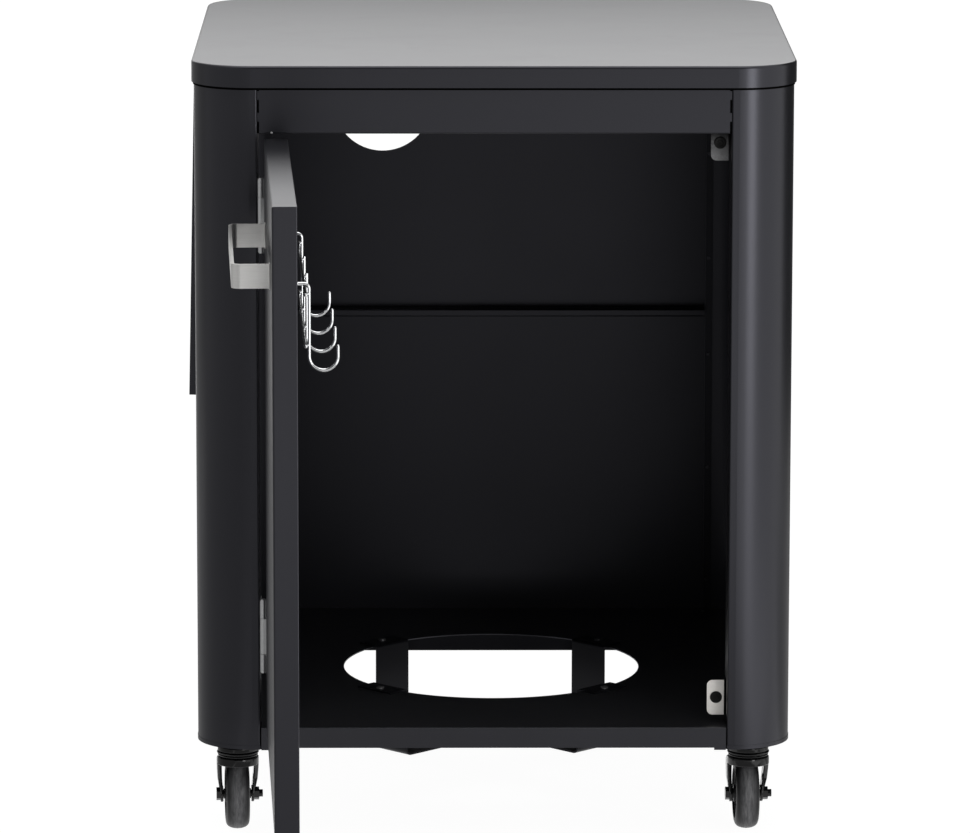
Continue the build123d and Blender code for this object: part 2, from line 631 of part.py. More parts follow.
# Casters: top plates with their ball race and kingpin, and the seal rings under them
RACE_Z = CHANNEL_Z - PLATE_T - RACE_H
CROWN_Z = RACE_Z - SEAL_H - FREE_GAP
CROWN_UNDER = CROWN_Z - FORK_T
with BuildPart() as caster_plates:
    with Locations(*[(x, y, CHANNEL_Z - PLATE_T) for x, y in CASTER_SPOTS.values()]):
        Box(PLATE_W, PLATE_W, PLATE_T, align=STAND)
    fillet(caster_plates.edges().filter_by(Axis.Z), PLATE_R)
    with Locations(*[(x, y, CHANNEL_Z) for x, y in CASTER_SPOTS.values()]):
        with GridLocations(2 * PLATE_BOLT, 2 * PLATE_BOLT, 2, 2):
            Cylinder(PLATE_BOLT_R + SCREW_FIT, 4 * PLATE_T, mode=Mode.SUBTRACT)
    with Locations(*[(x, y, RACE_Z) for x, y in CASTER_SPOTS.values()]):
        Cylinder(NECK_R, RACE_H, align=STAND)
        Cylinder(RACE_R, RACE_CUP_H, align=STAND)
    cup_edges = caster_plates.edges().filter_by(GeomType.CIRCLE)
    fillet(cup_edges.filter_by(lambda edge: abs(edge.radius - RACE_R) < RUN_FIT), RACE_EDGE)
    with Locations(*[(x, y, RACE_Z) for x, y in CASTER_SPOTS.values()]):
        Cylinder(KINGPIN_R, RACE_Z - CROWN_UNDER + FREE_GAP, align=HANG)
    with Locations(*[(x, y, CROWN_UNDER - FREE_GAP) for x, y in CASTER_SPOTS.values()]):
        Cylinder(KINGPIN_HEAD_R, KINGPIN_HEAD_H, align=HANG)
save(caster_plates, "caster_plates")

with BuildPart() as caster_seals:
    with Locations(*[(x, y, RACE_Z) for x, y in CASTER_SPOTS.values()]):
        Cylinder(SEAL_R, SEAL_H, align=HANG)
        Cylinder(KINGPIN_R + SCREW_FIT, SEAL_H, align=HANG, mode=Mode.SUBTRACT)
save(caster_seals, "caster_seals")

with BuildPart() as caster_bolts:
    with Locations(*[(x, y, CHANNEL_Z - PLATE_T) for x, y in CASTER_SPOTS.values()]):
        with GridLocations(2 * PLATE_BOLT, 2 * PLATE_BOLT, 2, 2):
            Cylinder(PLATE_BOLT_R, PLATE_BOLT_LENGTH, align=STAND)
    with BuildSketch(Plane.XY.offset(CHANNEL_Z - PLATE_T)):
        with Locations(*CASTER_SPOTS.values()):
            with GridLocations(2 * PLATE_BOLT, 2 * PLATE_BOLT, 2, 2):
                RegularPolygon(2 * PLATE_BOLT_R, 6)
    extrude(amount=-PLATE_NUT_H)
save(caster_bolts, "caster_bolts")

# Casters: forks, axles, hubs and tyres, one set each
LEG_IN = TYRE_W / 2 + FORK_CLEAR
LEG_OUT = LEG_IN + FORK_T
FORK_W = 2 * (LEG_OUT + FORK_SPLAY)
FOOT_TOP = WHEEL_R + FORK_FOOT_R
for spot, (x, y) in CASTER_SPOTS.items():
    turn = radians(CASTER_TURN[spot])
    fork_plane = Plane(origin=(x, y, 0), x_dir=(cos(turn), sin(turn), 0), z_dir=(0, 0, 1))
    axle_plane = Plane(
        origin=fork_plane.from_local_coords((0, TRAIL, WHEEL_R)), x_dir=(0, 0, 1), z_dir=fork_plane.x_dir
    )
    with BuildPart(fork_plane) as fork:
        with BuildSketch(fork_plane.offset(CROWN_UNDER)):
            Circle(FORK_W / 2)
            Rectangle(FORK_W, FORK_W / 2, align=(Align.CENTER, Align.MIN))
        extrude(amount=FORK_T)
        fillet(fork.edges().group_by(Axis.Z)[-1], FORK_EDGE)
        with BuildSketch(fork_plane.offset(CROWN_UNDER - FORK_SKIRT_H)):
            Circle(FORK_W / 2)
            Circle(FORK_W / 2 - FORK_T, mode=Mode.SUBTRACT)
            Rectangle(FORK_W, FORK_W, align=(Align.CENTER, Align.MIN), mode=Mode.SUBTRACT)
        extrude(amount=FORK_SKIRT_H)
        for side in (-1, 1):
            with BuildSketch(fork_plane.offset(CROWN_UNDER)) as leg_top:
                with Locations((side * (FORK_W - FORK_T) / 2, 0)):
                    Rectangle(FORK_T, FORK_W / 2, align=(Align.CENTER, Align.MIN))
            with BuildSketch(fork_plane.offset(FOOT_TOP + KNEE_RISE)) as leg_knee:
                with Locations((side * (FORK_W - FORK_T) / 2, KNEE_BACK)):
                    Rectangle(FORK_T, KNEE_D)
            loft(sections=[leg_top.sketch, leg_knee.sketch])
            with BuildSketch(fork_plane.offset(FOOT_TOP)) as leg_foot:
                with Locations((side * (LEG_OUT + LEG_IN) / 2, TRAIL)):
                    Rectangle(FORK_T, 2 * FORK_FOOT_R)
            loft(sections=[leg_knee.sketch, leg_foot.sketch])
            with BuildSketch(axle_plane.offset(side * LEG_IN)):
                Circle(FORK_FOOT_R)
                Rectangle(FORK_FOOT_R, 2 * FORK_FOOT_R, align=(Align.MIN, Align.CENTER))
            extrude(amount=side * FORK_T)
        with BuildSketch(axle_plane):
            Circle(AXLE_R + SCREW_FIT)
        extrude(amount=FORK_W, both=True, mode=Mode.SUBTRACT)
        with Locations((0, 0, CROWN_Z)):
            Cylinder(KINGPIN_R + RUN_FIT, 4 * FORK_T, mode=Mode.SUBTRACT)
    save(fork, f"{spot}_fork")

    with BuildPart() as axle:
        with BuildSketch(axle_plane.offset(-LEG_OUT)):
            Circle(AXLE_R)
        extrude(amount=2 * LEG_OUT + AXLE_NUT_H + AXLE_STUB)
        with BuildSketch(axle_plane.offset(-LEG_OUT)):
            RegularPolygon(AXLE_HEX_R, 6)
        extrude(amount=-AXLE_HEAD_H)
        with BuildSketch(axle_plane.offset(LEG_OUT)):
            RegularPolygon(AXLE_HEX_R, 6)
        extrude(amount=AXLE_NUT_H)
    save(axle, f"{spot}_axle")

    with BuildPart() as hub:
        with BuildSketch(axle_plane):
            Circle(RIM_R)
        extrude(amount=RIM_W / 2, both=True)
        for side in (-1, 1):
            with BuildSketch(axle_plane.offset(side * RIM_W / 2)):
                Circle(RIM_R - RIM_WALL)
            extrude(amount=-side * RIM_DISH, mode=Mode.SUBTRACT)
        with BuildSketch(axle_plane):
            Circle(BOSS_R)
        extrude(amount=TYRE_W / 2 + BOSS_PROUD, both=True)
        with BuildSketch(axle_plane):
            Circle(SLEEVE_R)
        extrude(amount=LEG_IN - FREE_GAP, both=True)
        with BuildSketch(axle_plane):
            Circle(AXLE_R + RUN_FIT)
        extrude(amount=FORK_W, both=True, mode=Mode.SUBTRACT)
    save(hub, f"{spot}_hub")

    with BuildPart() as tyre:
        with BuildSketch(axle_plane):
            Circle(WHEEL_R)
        extrude(amount=TYRE_W / 2, both=True)
        fillet(tyre.edges().filter_by(GeomType.CIRCLE), TYRE_SHOULDER)
        with BuildSketch(axle_plane):
            Circle(RIM_R)
        extrude(amount=TYRE_W, both=True, mode=Mode.SUBTRACT)
    save(tyre, f"{spot}_tyre")

# Side shelf: a shallow tray hanging from two hinges under the worktop's left lip
SHELF_NEAR = (Align.MIN, Align.CENTER, Align.MIN)
with BuildPart(SHELF) as side_shelf:
    with Locations((SHELF_GAP, 0, 0)):
        Box(SHELF_LENGTH - SHELF_GAP, SHELF_W, SHEET, align=SHELF_NEAR)
    with Locations((SHELF_LENGTH - SHEET, 0, 0)):
        Box(SHEET, SHELF_W, SHELF_EDGE, align=SHELF_NEAR)
    for side in (-1, 1):
        wall_plane = Plane(
            origin=SHELF.from_local_coords((0, side * SHELF_W / 2, 0)), x_dir=SHELF.x_dir, z_dir=(0, -1, 0)
        )
        with BuildSketch(wall_plane):
            with BuildLine():
                Polyline(
                    (SHELF_GAP, 0),
                    (SHELF_LENGTH, 0),
                    (SHELF_LENGTH, SHELF_EDGE),
                    (SHELF_GAP, SHELF_TOP_EDGE),
                    close=True,
                )
            make_face()
        extrude(amount=side * SHEET)
    with Locations((0, -SHELF_HINGE_Y, 0), (0, SHELF_HINGE_Y, 0)):
        Cylinder(SHELF_KNUCKLE_R, SHELF_KNUCKLE - 2 * FREE_GAP, rotation=(90, 0, 0))
        Box(SHELF_GAP, SHELF_KNUCKLE - 2 * FREE_GAP, SHEET, align=SHELF_NEAR)
        Cylinder(SHELF_PIN_R + RUN_FIT, 2 * SHELF_KNUCKLE, rotation=(90, 0, 0), mode=Mode.SUBTRACT)
save(side_shelf, "side_shelf")

SHELF_HINGE_SPOTS = [(SHELF_AXIS_X, y, SHELF_AXIS_Z) for y in (-SHELF_HINGE_Y, SHELF_HINGE_Y)]
SHELF_HINGE_W = SHELF_KNUCKLE + 2 * SHELF_EAR
PLATE_IN = SHELF_AXIS_OUT - SHEET
with BuildPart() as shelf_hinge_plates:
    with Locations(*SHELF_HINGE_SPOTS):
        with Locations((PLATE_IN, 0, 0)):
            Box(SHEET, SHELF_HINGE_W, SHELF_PLATE_H, align=(Align.MIN, Align.CENTER, Align.MAX))
            Box(
                4 * SHEET,
                SHELF_KNUCKLE,
                2 * (SHELF_KNUCKLE_R + FREE_GAP),
                mode=Mode.SUBTRACT,
            )
        with Locations(
            (0, (SHELF_KNUCKLE + SHELF_EAR) / 2, 0),
            (0, -(SHELF_KNUCKLE + SHELF_EAR) / 2, 0),
        ):
            Cylinder(SHELF_KNUCKLE_R, SHELF_EAR, rotation=(90, 0, 0))
            Cylinder(SHELF_PIN_R + RUN_FIT, SHELF_EAR, rotation=(90, 0, 0), mode=Mode.SUBTRACT)
save(shelf_hinge_plates, "shelf_hinge_plates")

with BuildPart() as shelf_pins:
    with Locations(*SHELF_HINGE_SPOTS):
        Cylinder(SHELF_PIN_R, SHELF_HINGE_W, rotation=(90, 0, 0))
save(shelf_pins, "shelf_pins")

BUFFER_PLANES = [
    Plane(origin=(-BODY_W / 2, y, BUFFER_Z), z_dir=(-1, 0, 0)) for y in (-BUFFER_Y, BUFFER_Y)
]
with BuildPart() as shelf_buffers:
    with Locations(*BUFFER_PLANES):
        Cylinder(BUFFER_R, BUFFER_H, align=STAND)
save(shelf_buffers, "shelf_buffers")
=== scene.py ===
"""Grill cart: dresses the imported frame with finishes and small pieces, and sets up its studio."""

import logging
import math
from collections.abc import Iterable, Sequence
from dataclasses import dataclass
from enum import Enum
from typing import Any

import bmesh
import bpy
from mathutils import Matrix, Quaternion, Vector


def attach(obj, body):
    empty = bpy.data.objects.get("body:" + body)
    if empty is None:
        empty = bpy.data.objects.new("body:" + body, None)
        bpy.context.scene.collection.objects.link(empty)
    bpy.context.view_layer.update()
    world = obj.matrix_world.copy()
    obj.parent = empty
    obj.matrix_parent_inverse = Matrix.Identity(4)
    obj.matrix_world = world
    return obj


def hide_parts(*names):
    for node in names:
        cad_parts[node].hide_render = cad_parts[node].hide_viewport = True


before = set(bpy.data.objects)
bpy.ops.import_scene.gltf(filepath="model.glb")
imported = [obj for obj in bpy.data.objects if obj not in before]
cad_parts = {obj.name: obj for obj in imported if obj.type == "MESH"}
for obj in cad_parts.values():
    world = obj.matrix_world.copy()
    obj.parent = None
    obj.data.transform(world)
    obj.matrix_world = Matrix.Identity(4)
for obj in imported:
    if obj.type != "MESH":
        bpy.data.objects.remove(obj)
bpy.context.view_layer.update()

LOG = logging.getLogger("grill_cart")
MM = 0.001
MERGE_GAP = 1e-7
SMOOTH_ANGLE = math.radians(35.0)
ACROSS = "across"
BODY_WIDTH = 635.0
BODY_DEPTH = 613.0
BODY_RADIUS = 60.0

Colour = tuple[float, float, float]
Point = tuple[float, float, float]
Profile = tuple[tuple[float, float], ...]
Form = bmesh.types.BMesh
Placed = tuple[Form, Matrix]
Material = bpy.types.Material
Wire = bpy.types.NodeSocket

RIGHT: Point = (1.0, 0.0, 0.0)
LEFT: Point = (-1.0, 0.0, 0.0)
BACK: Point = (0.0, 1.0, 0.0)
FRONT: Point = (0.0, -1.0, 0.0)
UP: Point = (0.0, 0.0, 1.0)


class Slot(Enum):
    """Material slots of the record."""

    POWDER_COAT = "powder_coat"
    STAINLESS = "stainless"
    CHROME_WIRE = "chrome_wire"
    BRIGHT_ZINC = "bright_zinc"
    BLACK_PLATE = "black_plate"
    BLACK_RUBBER = "black_rubber"
    GREY_HUB = "grey_hub"
    GREY_TYRE = "grey_tyre"


class Corner(Enum):
    """Corners of the cabinet that carry a caster."""

    FRONT_LEFT = "front_left"
    FRONT_RIGHT = "front_right"
    REAR_LEFT = "rear_left"
    REAR_RIGHT = "rear_right"


class Socket(Enum):
    """Kinds of socket that a node group shows."""

    VALUE = "NodeSocketFloat"
    VECTOR = "NodeSocketVector"


class Axis(Enum):
    """Axes of the cart."""

    X = "X"
    Y = "Y"
    Z = "Z"


class NodeBench:
    """Places and joins the nodes of one tree."""

    def __init__(self, tree: bpy.types.NodeTree) -> None:
        """Keeps the tree to work on."""
        self.tree = tree

    def add(self, kind: str, **settings: Any) -> bpy.types.Node:
        """Adds a node.

        Args:
            kind: Blender's name of the node type.
            **settings: Properties to set on the node.

        Returns:
            The new node.
        """
        node = self.tree.nodes.new(kind)
        for name, value in settings.items():
            setattr(node, name, value)
        return node

    def feed(self, value: Any, target: Wire) -> None:
        """Feeds an input.

        Args:
            value: Output to link, or a fixed value to set.
            target: The input.
        """
        if isinstance(value, Wire):
            self.tree.links.new(value, target)
        else:
            target.default_value = value

    def span(self, value: Wire, low: float, high: float, start: float = 0.3, end: float = 0.7) -> Wire:
        """Maps a value from one range to another.

        Args:
            value: Socket to read.
            low: Result at start.
            high: Result at end.
            start: Value that gives low.
            end: Value that gives high.

        Returns:
            The mapped value.
        """
        node = self.add("ShaderNodeMapRange")
        self.feed(value, node.inputs["Value"])
        self.feed(start, node.inputs["From Min"])
        self.feed(end, node.inputs["From Max"])
        self.feed(low, node.inputs["To Min"])
        self.feed(high, node.inputs["To Max"])
        return node.outputs["Result"]

    def blend(self, amount: Wire, first: Wire | Colour, second: Colour) -> Wire:
        """Mixes two colours.

        Args:
            amount: Socket that is 0 for the first colour and 1 for the second.
            first: Socket with a colour, or a colour in linear light.
            second: Colour in linear light.

        Returns:
            The mixed colour.
        """
        node = self.add("ShaderNodeMix", data_type="RGBA")
        self.feed(amount, node.inputs["Factor"])
        self.feed(first if isinstance(first, Wire) else (*first, 1.0), node.inputs["A"])
        self.feed((*second, 1.0), node.inputs["B"])
        return next(socket for socket in node.outputs if socket.enabled)

    def math(self, operation: str, first: Wire, second: Wire | float = 0.0) -> Wire:
        """Adds a math node.

        Args:
            operation: Blender's name of the operation.
            first: Socket for the first value.
            second: Socket or number for the second value.

        Returns:
            The result.
        """
        node = self.add("ShaderNodeMath", operation=operation)
        self.feed(first, node.inputs[0])
        self.feed(second, node.inputs[1])
        return node.outputs[0]


def fresh_material(name: str) -> tuple[Material, NodeBench]:
    """Makes a material with an empty node tree.

    Args:
        name: Name of the material.

    Returns:
        The material and the bench of its nodes.
    """
    material = bpy.data.materials.new(name)
    material.use_nodes = True
    material.node_tree.nodes.clear()
    return material, NodeBench(material.node_tree)


def set_down(form: Form, name: str, material: Material) -> bpy.types.Object:
    """Turns a form into an object of the scene.

    Args:
        form: The shape, which is freed here.
        name: Name of the object.
        material: Its material.

    Returns:
        The new object.
    """
    mesh = bpy.data.meshes.new(name)
    form.to_mesh(mesh)
    form.free()
    mesh.materials.append(material)
    made = bpy.data.objects.new(name, mesh)
    bpy.context.scene.collection.objects.link(made)
    return made


@dataclass(frozen=True)
class EffectBench:
    """A shared effect in the making: a node group that reads a place and a scale."""

    bench: NodeBench
    start: bpy.types.Node
    end: bpy.types.Node

    @classmethod
    def open(cls, name: str, *outputs: str) -> "EffectBench":
        """Makes the group with its sockets.

        Args:
            name: Name of the group.
            *outputs: Names of the values that it puts out.

        Returns:
            The bench to build it on.
        """
        tree = bpy.data.node_groups.new(name, "ShaderNodeTree")
        tree.interface.new_socket("Vector", in_out="INPUT", socket_type=Socket.VECTOR.value)
        tree.interface.new_socket("Scale", in_out="INPUT", socket_type=Socket.VALUE.value)
        for output in outputs:
            tree.interface.new_socket(output, in_out="OUTPUT", socket_type=Socket.VALUE.value)
        bench = NodeBench(tree)
        return cls(bench, bench.add("NodeGroupInput"), bench.add("NodeGroupOutput"))

    def texture(self, kind: str, scale: float | None = None, **values: float) -> bpy.types.Node:
        """Adds a texture at the place that the group reads.

        Args:
            kind: Blender's name of the texture node.
            scale: Waves in a metre, or none for the group's own scale.
            **values: The texture's other inputs.

        Returns:
            The texture node.
        """
        node = self.bench.add(kind)
        self.bench.feed(self.start.outputs["Vector"], node.inputs["Vector"])
        self.bench.feed(self.start.outputs["Scale"] if scale is None else scale, node.inputs["Scale"])
        for name, value in values.items():
            self.bench.feed(value, node.inputs[name])
        return node

    def noise(self, scale: float | None = None, **values: float) -> Wire:
        """Adds a noise texture and gives its value."""
        return self.texture("ShaderNodeTexNoise", scale, **values).outputs["Fac"]

    def close(self, **results: Wire) -> bpy.types.NodeTree:
        """Feeds the group's outputs.

        Args:
            **results: Socket for each output, by the output's name.

        Returns:
            The finished group.
        """
        for name, result in results.items():
            self.bench.feed(result, self.end.inputs[name])
        return self.bench.tree


class SharedEffects:
    """Node groups that several finishes place with their own values."""

    def __init__(self) -> None:
        """Builds every group once."""
        self.coat_grain = self._coat_grain()
        self.brush_lines = self._patches("brush_lines", "Line", 0.3, 0.7, Detail=5.0, Roughness=0.7)
        self.handling = self._patches(
            "handling", "Mask", 0.52, 0.72, Detail=6.0, Roughness=0.6, Distortion=0.6
        )
        self.specks = self._specks()

    @staticmethod
    def _coat_grain() -> bpy.types.NodeTree:
        """Builds the fine dimple and slow drift of a sprayed or baked surface.

        Returns:
            The group, with a Height and a Drift output.
        """
        work = EffectBench.open("coat_grain", "Height", "Drift")
        peel = work.noise(Detail=2.5, Roughness=0.55)
        slow = work.noise(scale=7.0, Detail=4.0)
        return work.close(Height=peel, Drift=work.bench.span(slow, 0.0, 1.0))

    @staticmethod
    def _patches(name: str, output: str, start: float, end: float, **values: float) -> bpy.types.NodeTree:
        """Builds a mask from one noise, as the lines of a belt or the smudges of hands.

        Args:
            name: Name of the group.
            output: Name of its output.
            start: Noise value at which the mask starts.
            end: Noise value at which the mask is full.
            **values: Inputs of the noise.

        Returns:
            The group.
        """
        work = EffectBench.open(name, output)
        mask = work.bench.span(work.noise(**values), 0.0, 1.0, start, end)
        return work.close(**{output: mask})

    @staticmethod
    def _specks() -> bpy.types.NodeTree:
        """Builds sparse small dots, as dust or grit in a surface.

        Returns:
            The group, with a Mask output.
        """
        work = EffectBench.open("specks", "Mask")
        bench = work.bench
        cell = work.texture("ShaderNodeTexVoronoi")
        dot = bench.span(cell.outputs["Distance"], 1.0, 0.0, start=0.04, end=0.12)
        pick = bench.add("ShaderNodeSeparateColor")
        bench.feed(cell.outputs["Color"], pick.inputs["Color"])
        some = bench.span(pick.outputs["Red"], 0.0, 1.0, start=0.8, end=0.9)
        return work.close(Mask=bench.math("MULTIPLY", dot, some))


@dataclass(frozen=True)
class MaterialBench:
    """A new material with its shader and the place that its patterns read."""

    material: Material
    bench: NodeBench
    shader: bpy.types.Node
    place: Wire

    @classmethod
    def start(cls, name: str) -> "MaterialBench":
        """Makes a material with a Principled shader.

        Args:
            name: Name of the material.

        Returns:
            The bench to build it on.
        """
        material, bench = fresh_material(name)
        shader = bench.add("ShaderNodeBsdfPrincipled")
        output = bench.add("ShaderNodeOutputMaterial")
        bench.feed(shader.outputs["BSDF"], output.inputs["Surface"])
        place = bench.add("ShaderNodeTexCoord").outputs["Object"]
        return cls(material, bench, shader, place)

    def effect(self, group: bpy.types.NodeTree, scale: float, vector: Wire | None = None) -> bpy.types.Node:
        """Places a shared effect.

        Args:
            group: The node group.
            scale: Its scale in waves to a metre.
            vector: Socket to read instead of the plain place.

        Returns:
            The group node.
        """
        node = self.bench.add("ShaderNodeGroup", node_tree=group)
        self.bench.feed(vector or self.place, node.inputs["Vector"])
        self.bench.feed(scale, node.inputs["Scale"])
        return node

    def stretched(self, scale: Point) -> Wire:
        """Gives the place with each axis scaled.

        Args:
            scale: Factors on X, Y and Z.

        Returns:
            The scaled place.
        """
        node = self.bench.add("ShaderNodeMapping")
        self.bench.feed(self.place, node.inputs["Vector"])
        self.bench.feed(scale, node.inputs["Scale"])
        return node.outputs["Vector"]

    def along(self, axis: Axis) -> Wire:
        """Gives one coordinate of the place.

        Args:
            axis: Axis to read.

        Returns:
            The coordinate in metres.
        """
        split = self.bench.add("ShaderNodeSeparateXYZ")
        self.bench.feed(self.place, split.inputs["Vector"])
        return split.outputs[axis.value]

    def give(self, socket: str, value: Any) -> None:
        """Feeds an input of the shader with a socket or a fixed value."""
        self.bench.feed(value, self.shader.inputs[socket])

    def sheen(self, drift: Wire, first: float, last: float, marks: Wire, wear: float) -> None:
        """Feeds the roughness from a drift, with handling marks on it.

        Args:
            drift: Socket that goes from 0 to 1.
            first: Roughness at 0.
            last: Roughness at 1.
            marks: Mask of the handling marks.
            wear: Roughness that the marks add.
        """
        plain = self.bench.span(drift, first, last, 0.0, 1.0)
        wear_and_painted_shade = self.bench.math("MULTIPLY", marks, wear)
        self.give("Roughness", self.bench.math("ADD", plain, wear_and_painted_shade))

    def bump(self, height: Wire, strength: float, depth: float) -> None:
        """Feeds the normal from a height.

        Args:
            height: Socket with the height from 0 to 1.
            strength: Share of the bump that shows.
            depth: Real height in metres.
        """
        node = self.bench.add("ShaderNodeBump")
        self.bench.feed(strength, node.inputs["Strength"])
        self.bench.feed(depth, node.inputs["Distance"])
        self.bench.feed(height, node.inputs["Height"])
        self.give("Normal", node.outputs["Normal"])


@dataclass(frozen=True)
class PowderCoat:
    """Black satin powder coat with a fine dimple, a slow drift and a little dust."""

    name: str = "satin_black_powder_coat"
    deep: Colour = (0.0084, 0.0085, 0.01)
    light: Colour = (0.0098, 0.0099, 0.0116)
    dust: Colour = (0.05, 0.05, 0.052)
    dust_share: float = 0.25
    dust_scale: float = 160.0
    smooth: float = 0.285
    rough: float = 0.305
    marks_scale: float = 16.0
    wear: float = 0.01
    specular: float = 0.56
    # Painted shade on the inner faces of the rear bends: their specular level, and where the bends lie.
    bend_shade_specular: float | None = None
    bend_middle: Point = (0.2575, 0.2465, 0.0)
    bend_inner: float = 0.0594
    tint: Colour = (0.88, 0.88, 1.0)
    peel_scale: float = 850.0
    peel_share: float = 0.3
    peel_depth: float = 0.00004

    def make(self, effects: SharedEffects) -> Material:
        """Builds the material.

        Args:
            effects: The shared node groups.

        Returns:
            The finished material.
        """
        work = MaterialBench.start(self.name)
        bench = work.bench
        grain = work.effect(effects.coat_grain, self.peel_scale)
        marks = work.effect(effects.handling, self.marks_scale)
        specks = work.effect(effects.specks, self.dust_scale)
        tone = bench.blend(grain.outputs["Drift"], self.deep, self.light)
        dusty = bench.math("MULTIPLY", specks.outputs["Mask"], self.dust_share)
        work.give("Base Color", bench.blend(dusty, tone, self.dust))
        work.give("Specular Tint", (*self.tint, 1.0))
        work.give("Specular IOR Level", self.specular)
        work.sheen(grain.outputs["Drift"], self.smooth, self.rough, marks.outputs["Mask"], self.wear)
        work.bump(grain.outputs["Height"], self.peel_share, self.peel_depth)
        if self.bend_shade_specular is not None:
            self.paint_bend_shade(work, self.bend_shade_specular)
        return work.material

    def paint_bend_shade(self, work: MaterialBench, inner: float) -> None:
        """Paints shade on the inner faces of the rear bends by taking sheen from them.

        Args:
            work: Bench of the material.
            inner: Specular level of those faces.
        """
        bench = work.bench
        level = bench.add("ShaderNodeCombineXYZ")
        bench.feed(bench.math("ABSOLUTE", work.along(Axis.X)), level.inputs["X"])
        bench.feed(work.along(Axis.Y), level.inputs["Y"])
        reach = bench.add("ShaderNodeVectorMath", operation="DISTANCE")
        bench.feed(level.outputs["Vector"], reach.inputs[0])
        bench.feed(self.bend_middle, reach.inputs[1])
        within = bench.math("LESS_THAN", reach.outputs["Value"], self.bend_inner)
        work.give("Specular IOR Level", bench.span(within, self.specular, inner, 0.0, 1.0))


@dataclass(frozen=True)
class BrushedStainless:
    """Stainless steel with a fine brushed grain along one axis."""

    name: str = "brushed_stainless"
    grain: Point = (40.0, 1.5, 900.0)
    deep: Colour = (0.79, 0.782, 0.765)
    light: Colour = (0.85, 0.842, 0.825)
    smooth: float = 0.33
    rough: float = 0.38
    marks_scale: float = 22.0
    wear: float = 0.07
    line_share: float = 0.12
    line_depth: float = 0.00001

    def make(self, effects: SharedEffects) -> Material:
        """Builds the material.

        Args:
            effects: The shared node groups.

        Returns:
            The finished material.
        """
        work = MaterialBench.start(self.name)
        line = work.effect(effects.brush_lines, 1.0, work.stretched(self.grain)).outputs["Line"]
        marks = work.effect(effects.handling, self.marks_scale)
        work.give("Metallic", 1.0)
        work.give("Base Color", work.bench.blend(line, self.deep, self.light))
        work.sheen(line, self.rough, self.smooth, marks.outputs["Mask"], self.wear)
        work.bump(line, self.line_share, self.line_depth)
        return work.material


@dataclass(frozen=True)
class ShadeFade:
    """A stretch of one axis, in metres, over which plating goes over to painted shade."""

    axis: Axis
    start: float
    end: float


@dataclass(frozen=True)
class BrightMetal:
    """Plated metal: bright, with soft clouds and a few handling marks."""

    name: str
    deep: Colour
    light: Colour
    smooth: float
    rough: float
    cloud_scale: float
    peel_depth: float
    metallic: float = 1.0
    # Painted shade: along the fade, the plating darkens to the near-black colour below.
    fade: ShadeFade | None = None
    coat: Colour = (0.006, 0.006, 0.007)
    fade_patches: float = 0.35
    fade_spread: float = 4.0
    peel_share: float = 0.3
    marks_scale: float = 60.0
    wear: float = 0.06

    def make(self, effects: SharedEffects) -> Material:
        """Builds the material.

        Args:
            effects: The shared node groups.

        Returns:
            The finished material.
        """
        work = MaterialBench.start(self.name)
        grain = work.effect(effects.coat_grain, self.cloud_scale)
        marks = work.effect(effects.handling, self.marks_scale)
        tone = work.bench.blend(grain.outputs["Height"], self.deep, self.light)
        # Painted shade where the plating darkens along the fade.
        if self.fade:
            patchy = self.painted_shade_mask(work, self.fade, grain.outputs["Height"])
            tone = work.bench.blend(patchy, tone, self.coat)
        work.give("Metallic", self.metallic)
        work.give("Base Color", tone)
        work.sheen(grain.outputs["Drift"], self.smooth, self.rough, marks.outputs["Mask"], self.wear)
        work.bump(grain.outputs["Height"], self.peel_share, self.peel_depth)
        return work.material

    def painted_shade_mask(self, work: MaterialBench, fade: ShadeFade, height: Wire) -> Wire:
        """Gives the mask of the painted shade, with a patchy border.

        Args:
            work: Bench of the material.
            fade: Where the plating goes over to the painted shade.
            height: Socket with the clouds of the plating.

        Returns:
            Socket that is 0 on plating and 1 on the painted shade.
        """
        bench = work.bench
        place = work.along(fade.axis)
        rise = bench.span(place, 0.0, 1.0, fade.start, fade.end)
        fall = bench.span(place, 1.0, 0.0, fade.start, fade.end)
        border = bench.math("MULTIPLY", bench.math("MULTIPLY", fall, rise), self.fade_spread)
        cloud = bench.span(height, -self.fade_patches, self.fade_patches, start=0.2, end=0.8)
        return bench.math("ADD", rise, bench.math("MULTIPLY", border, cloud))


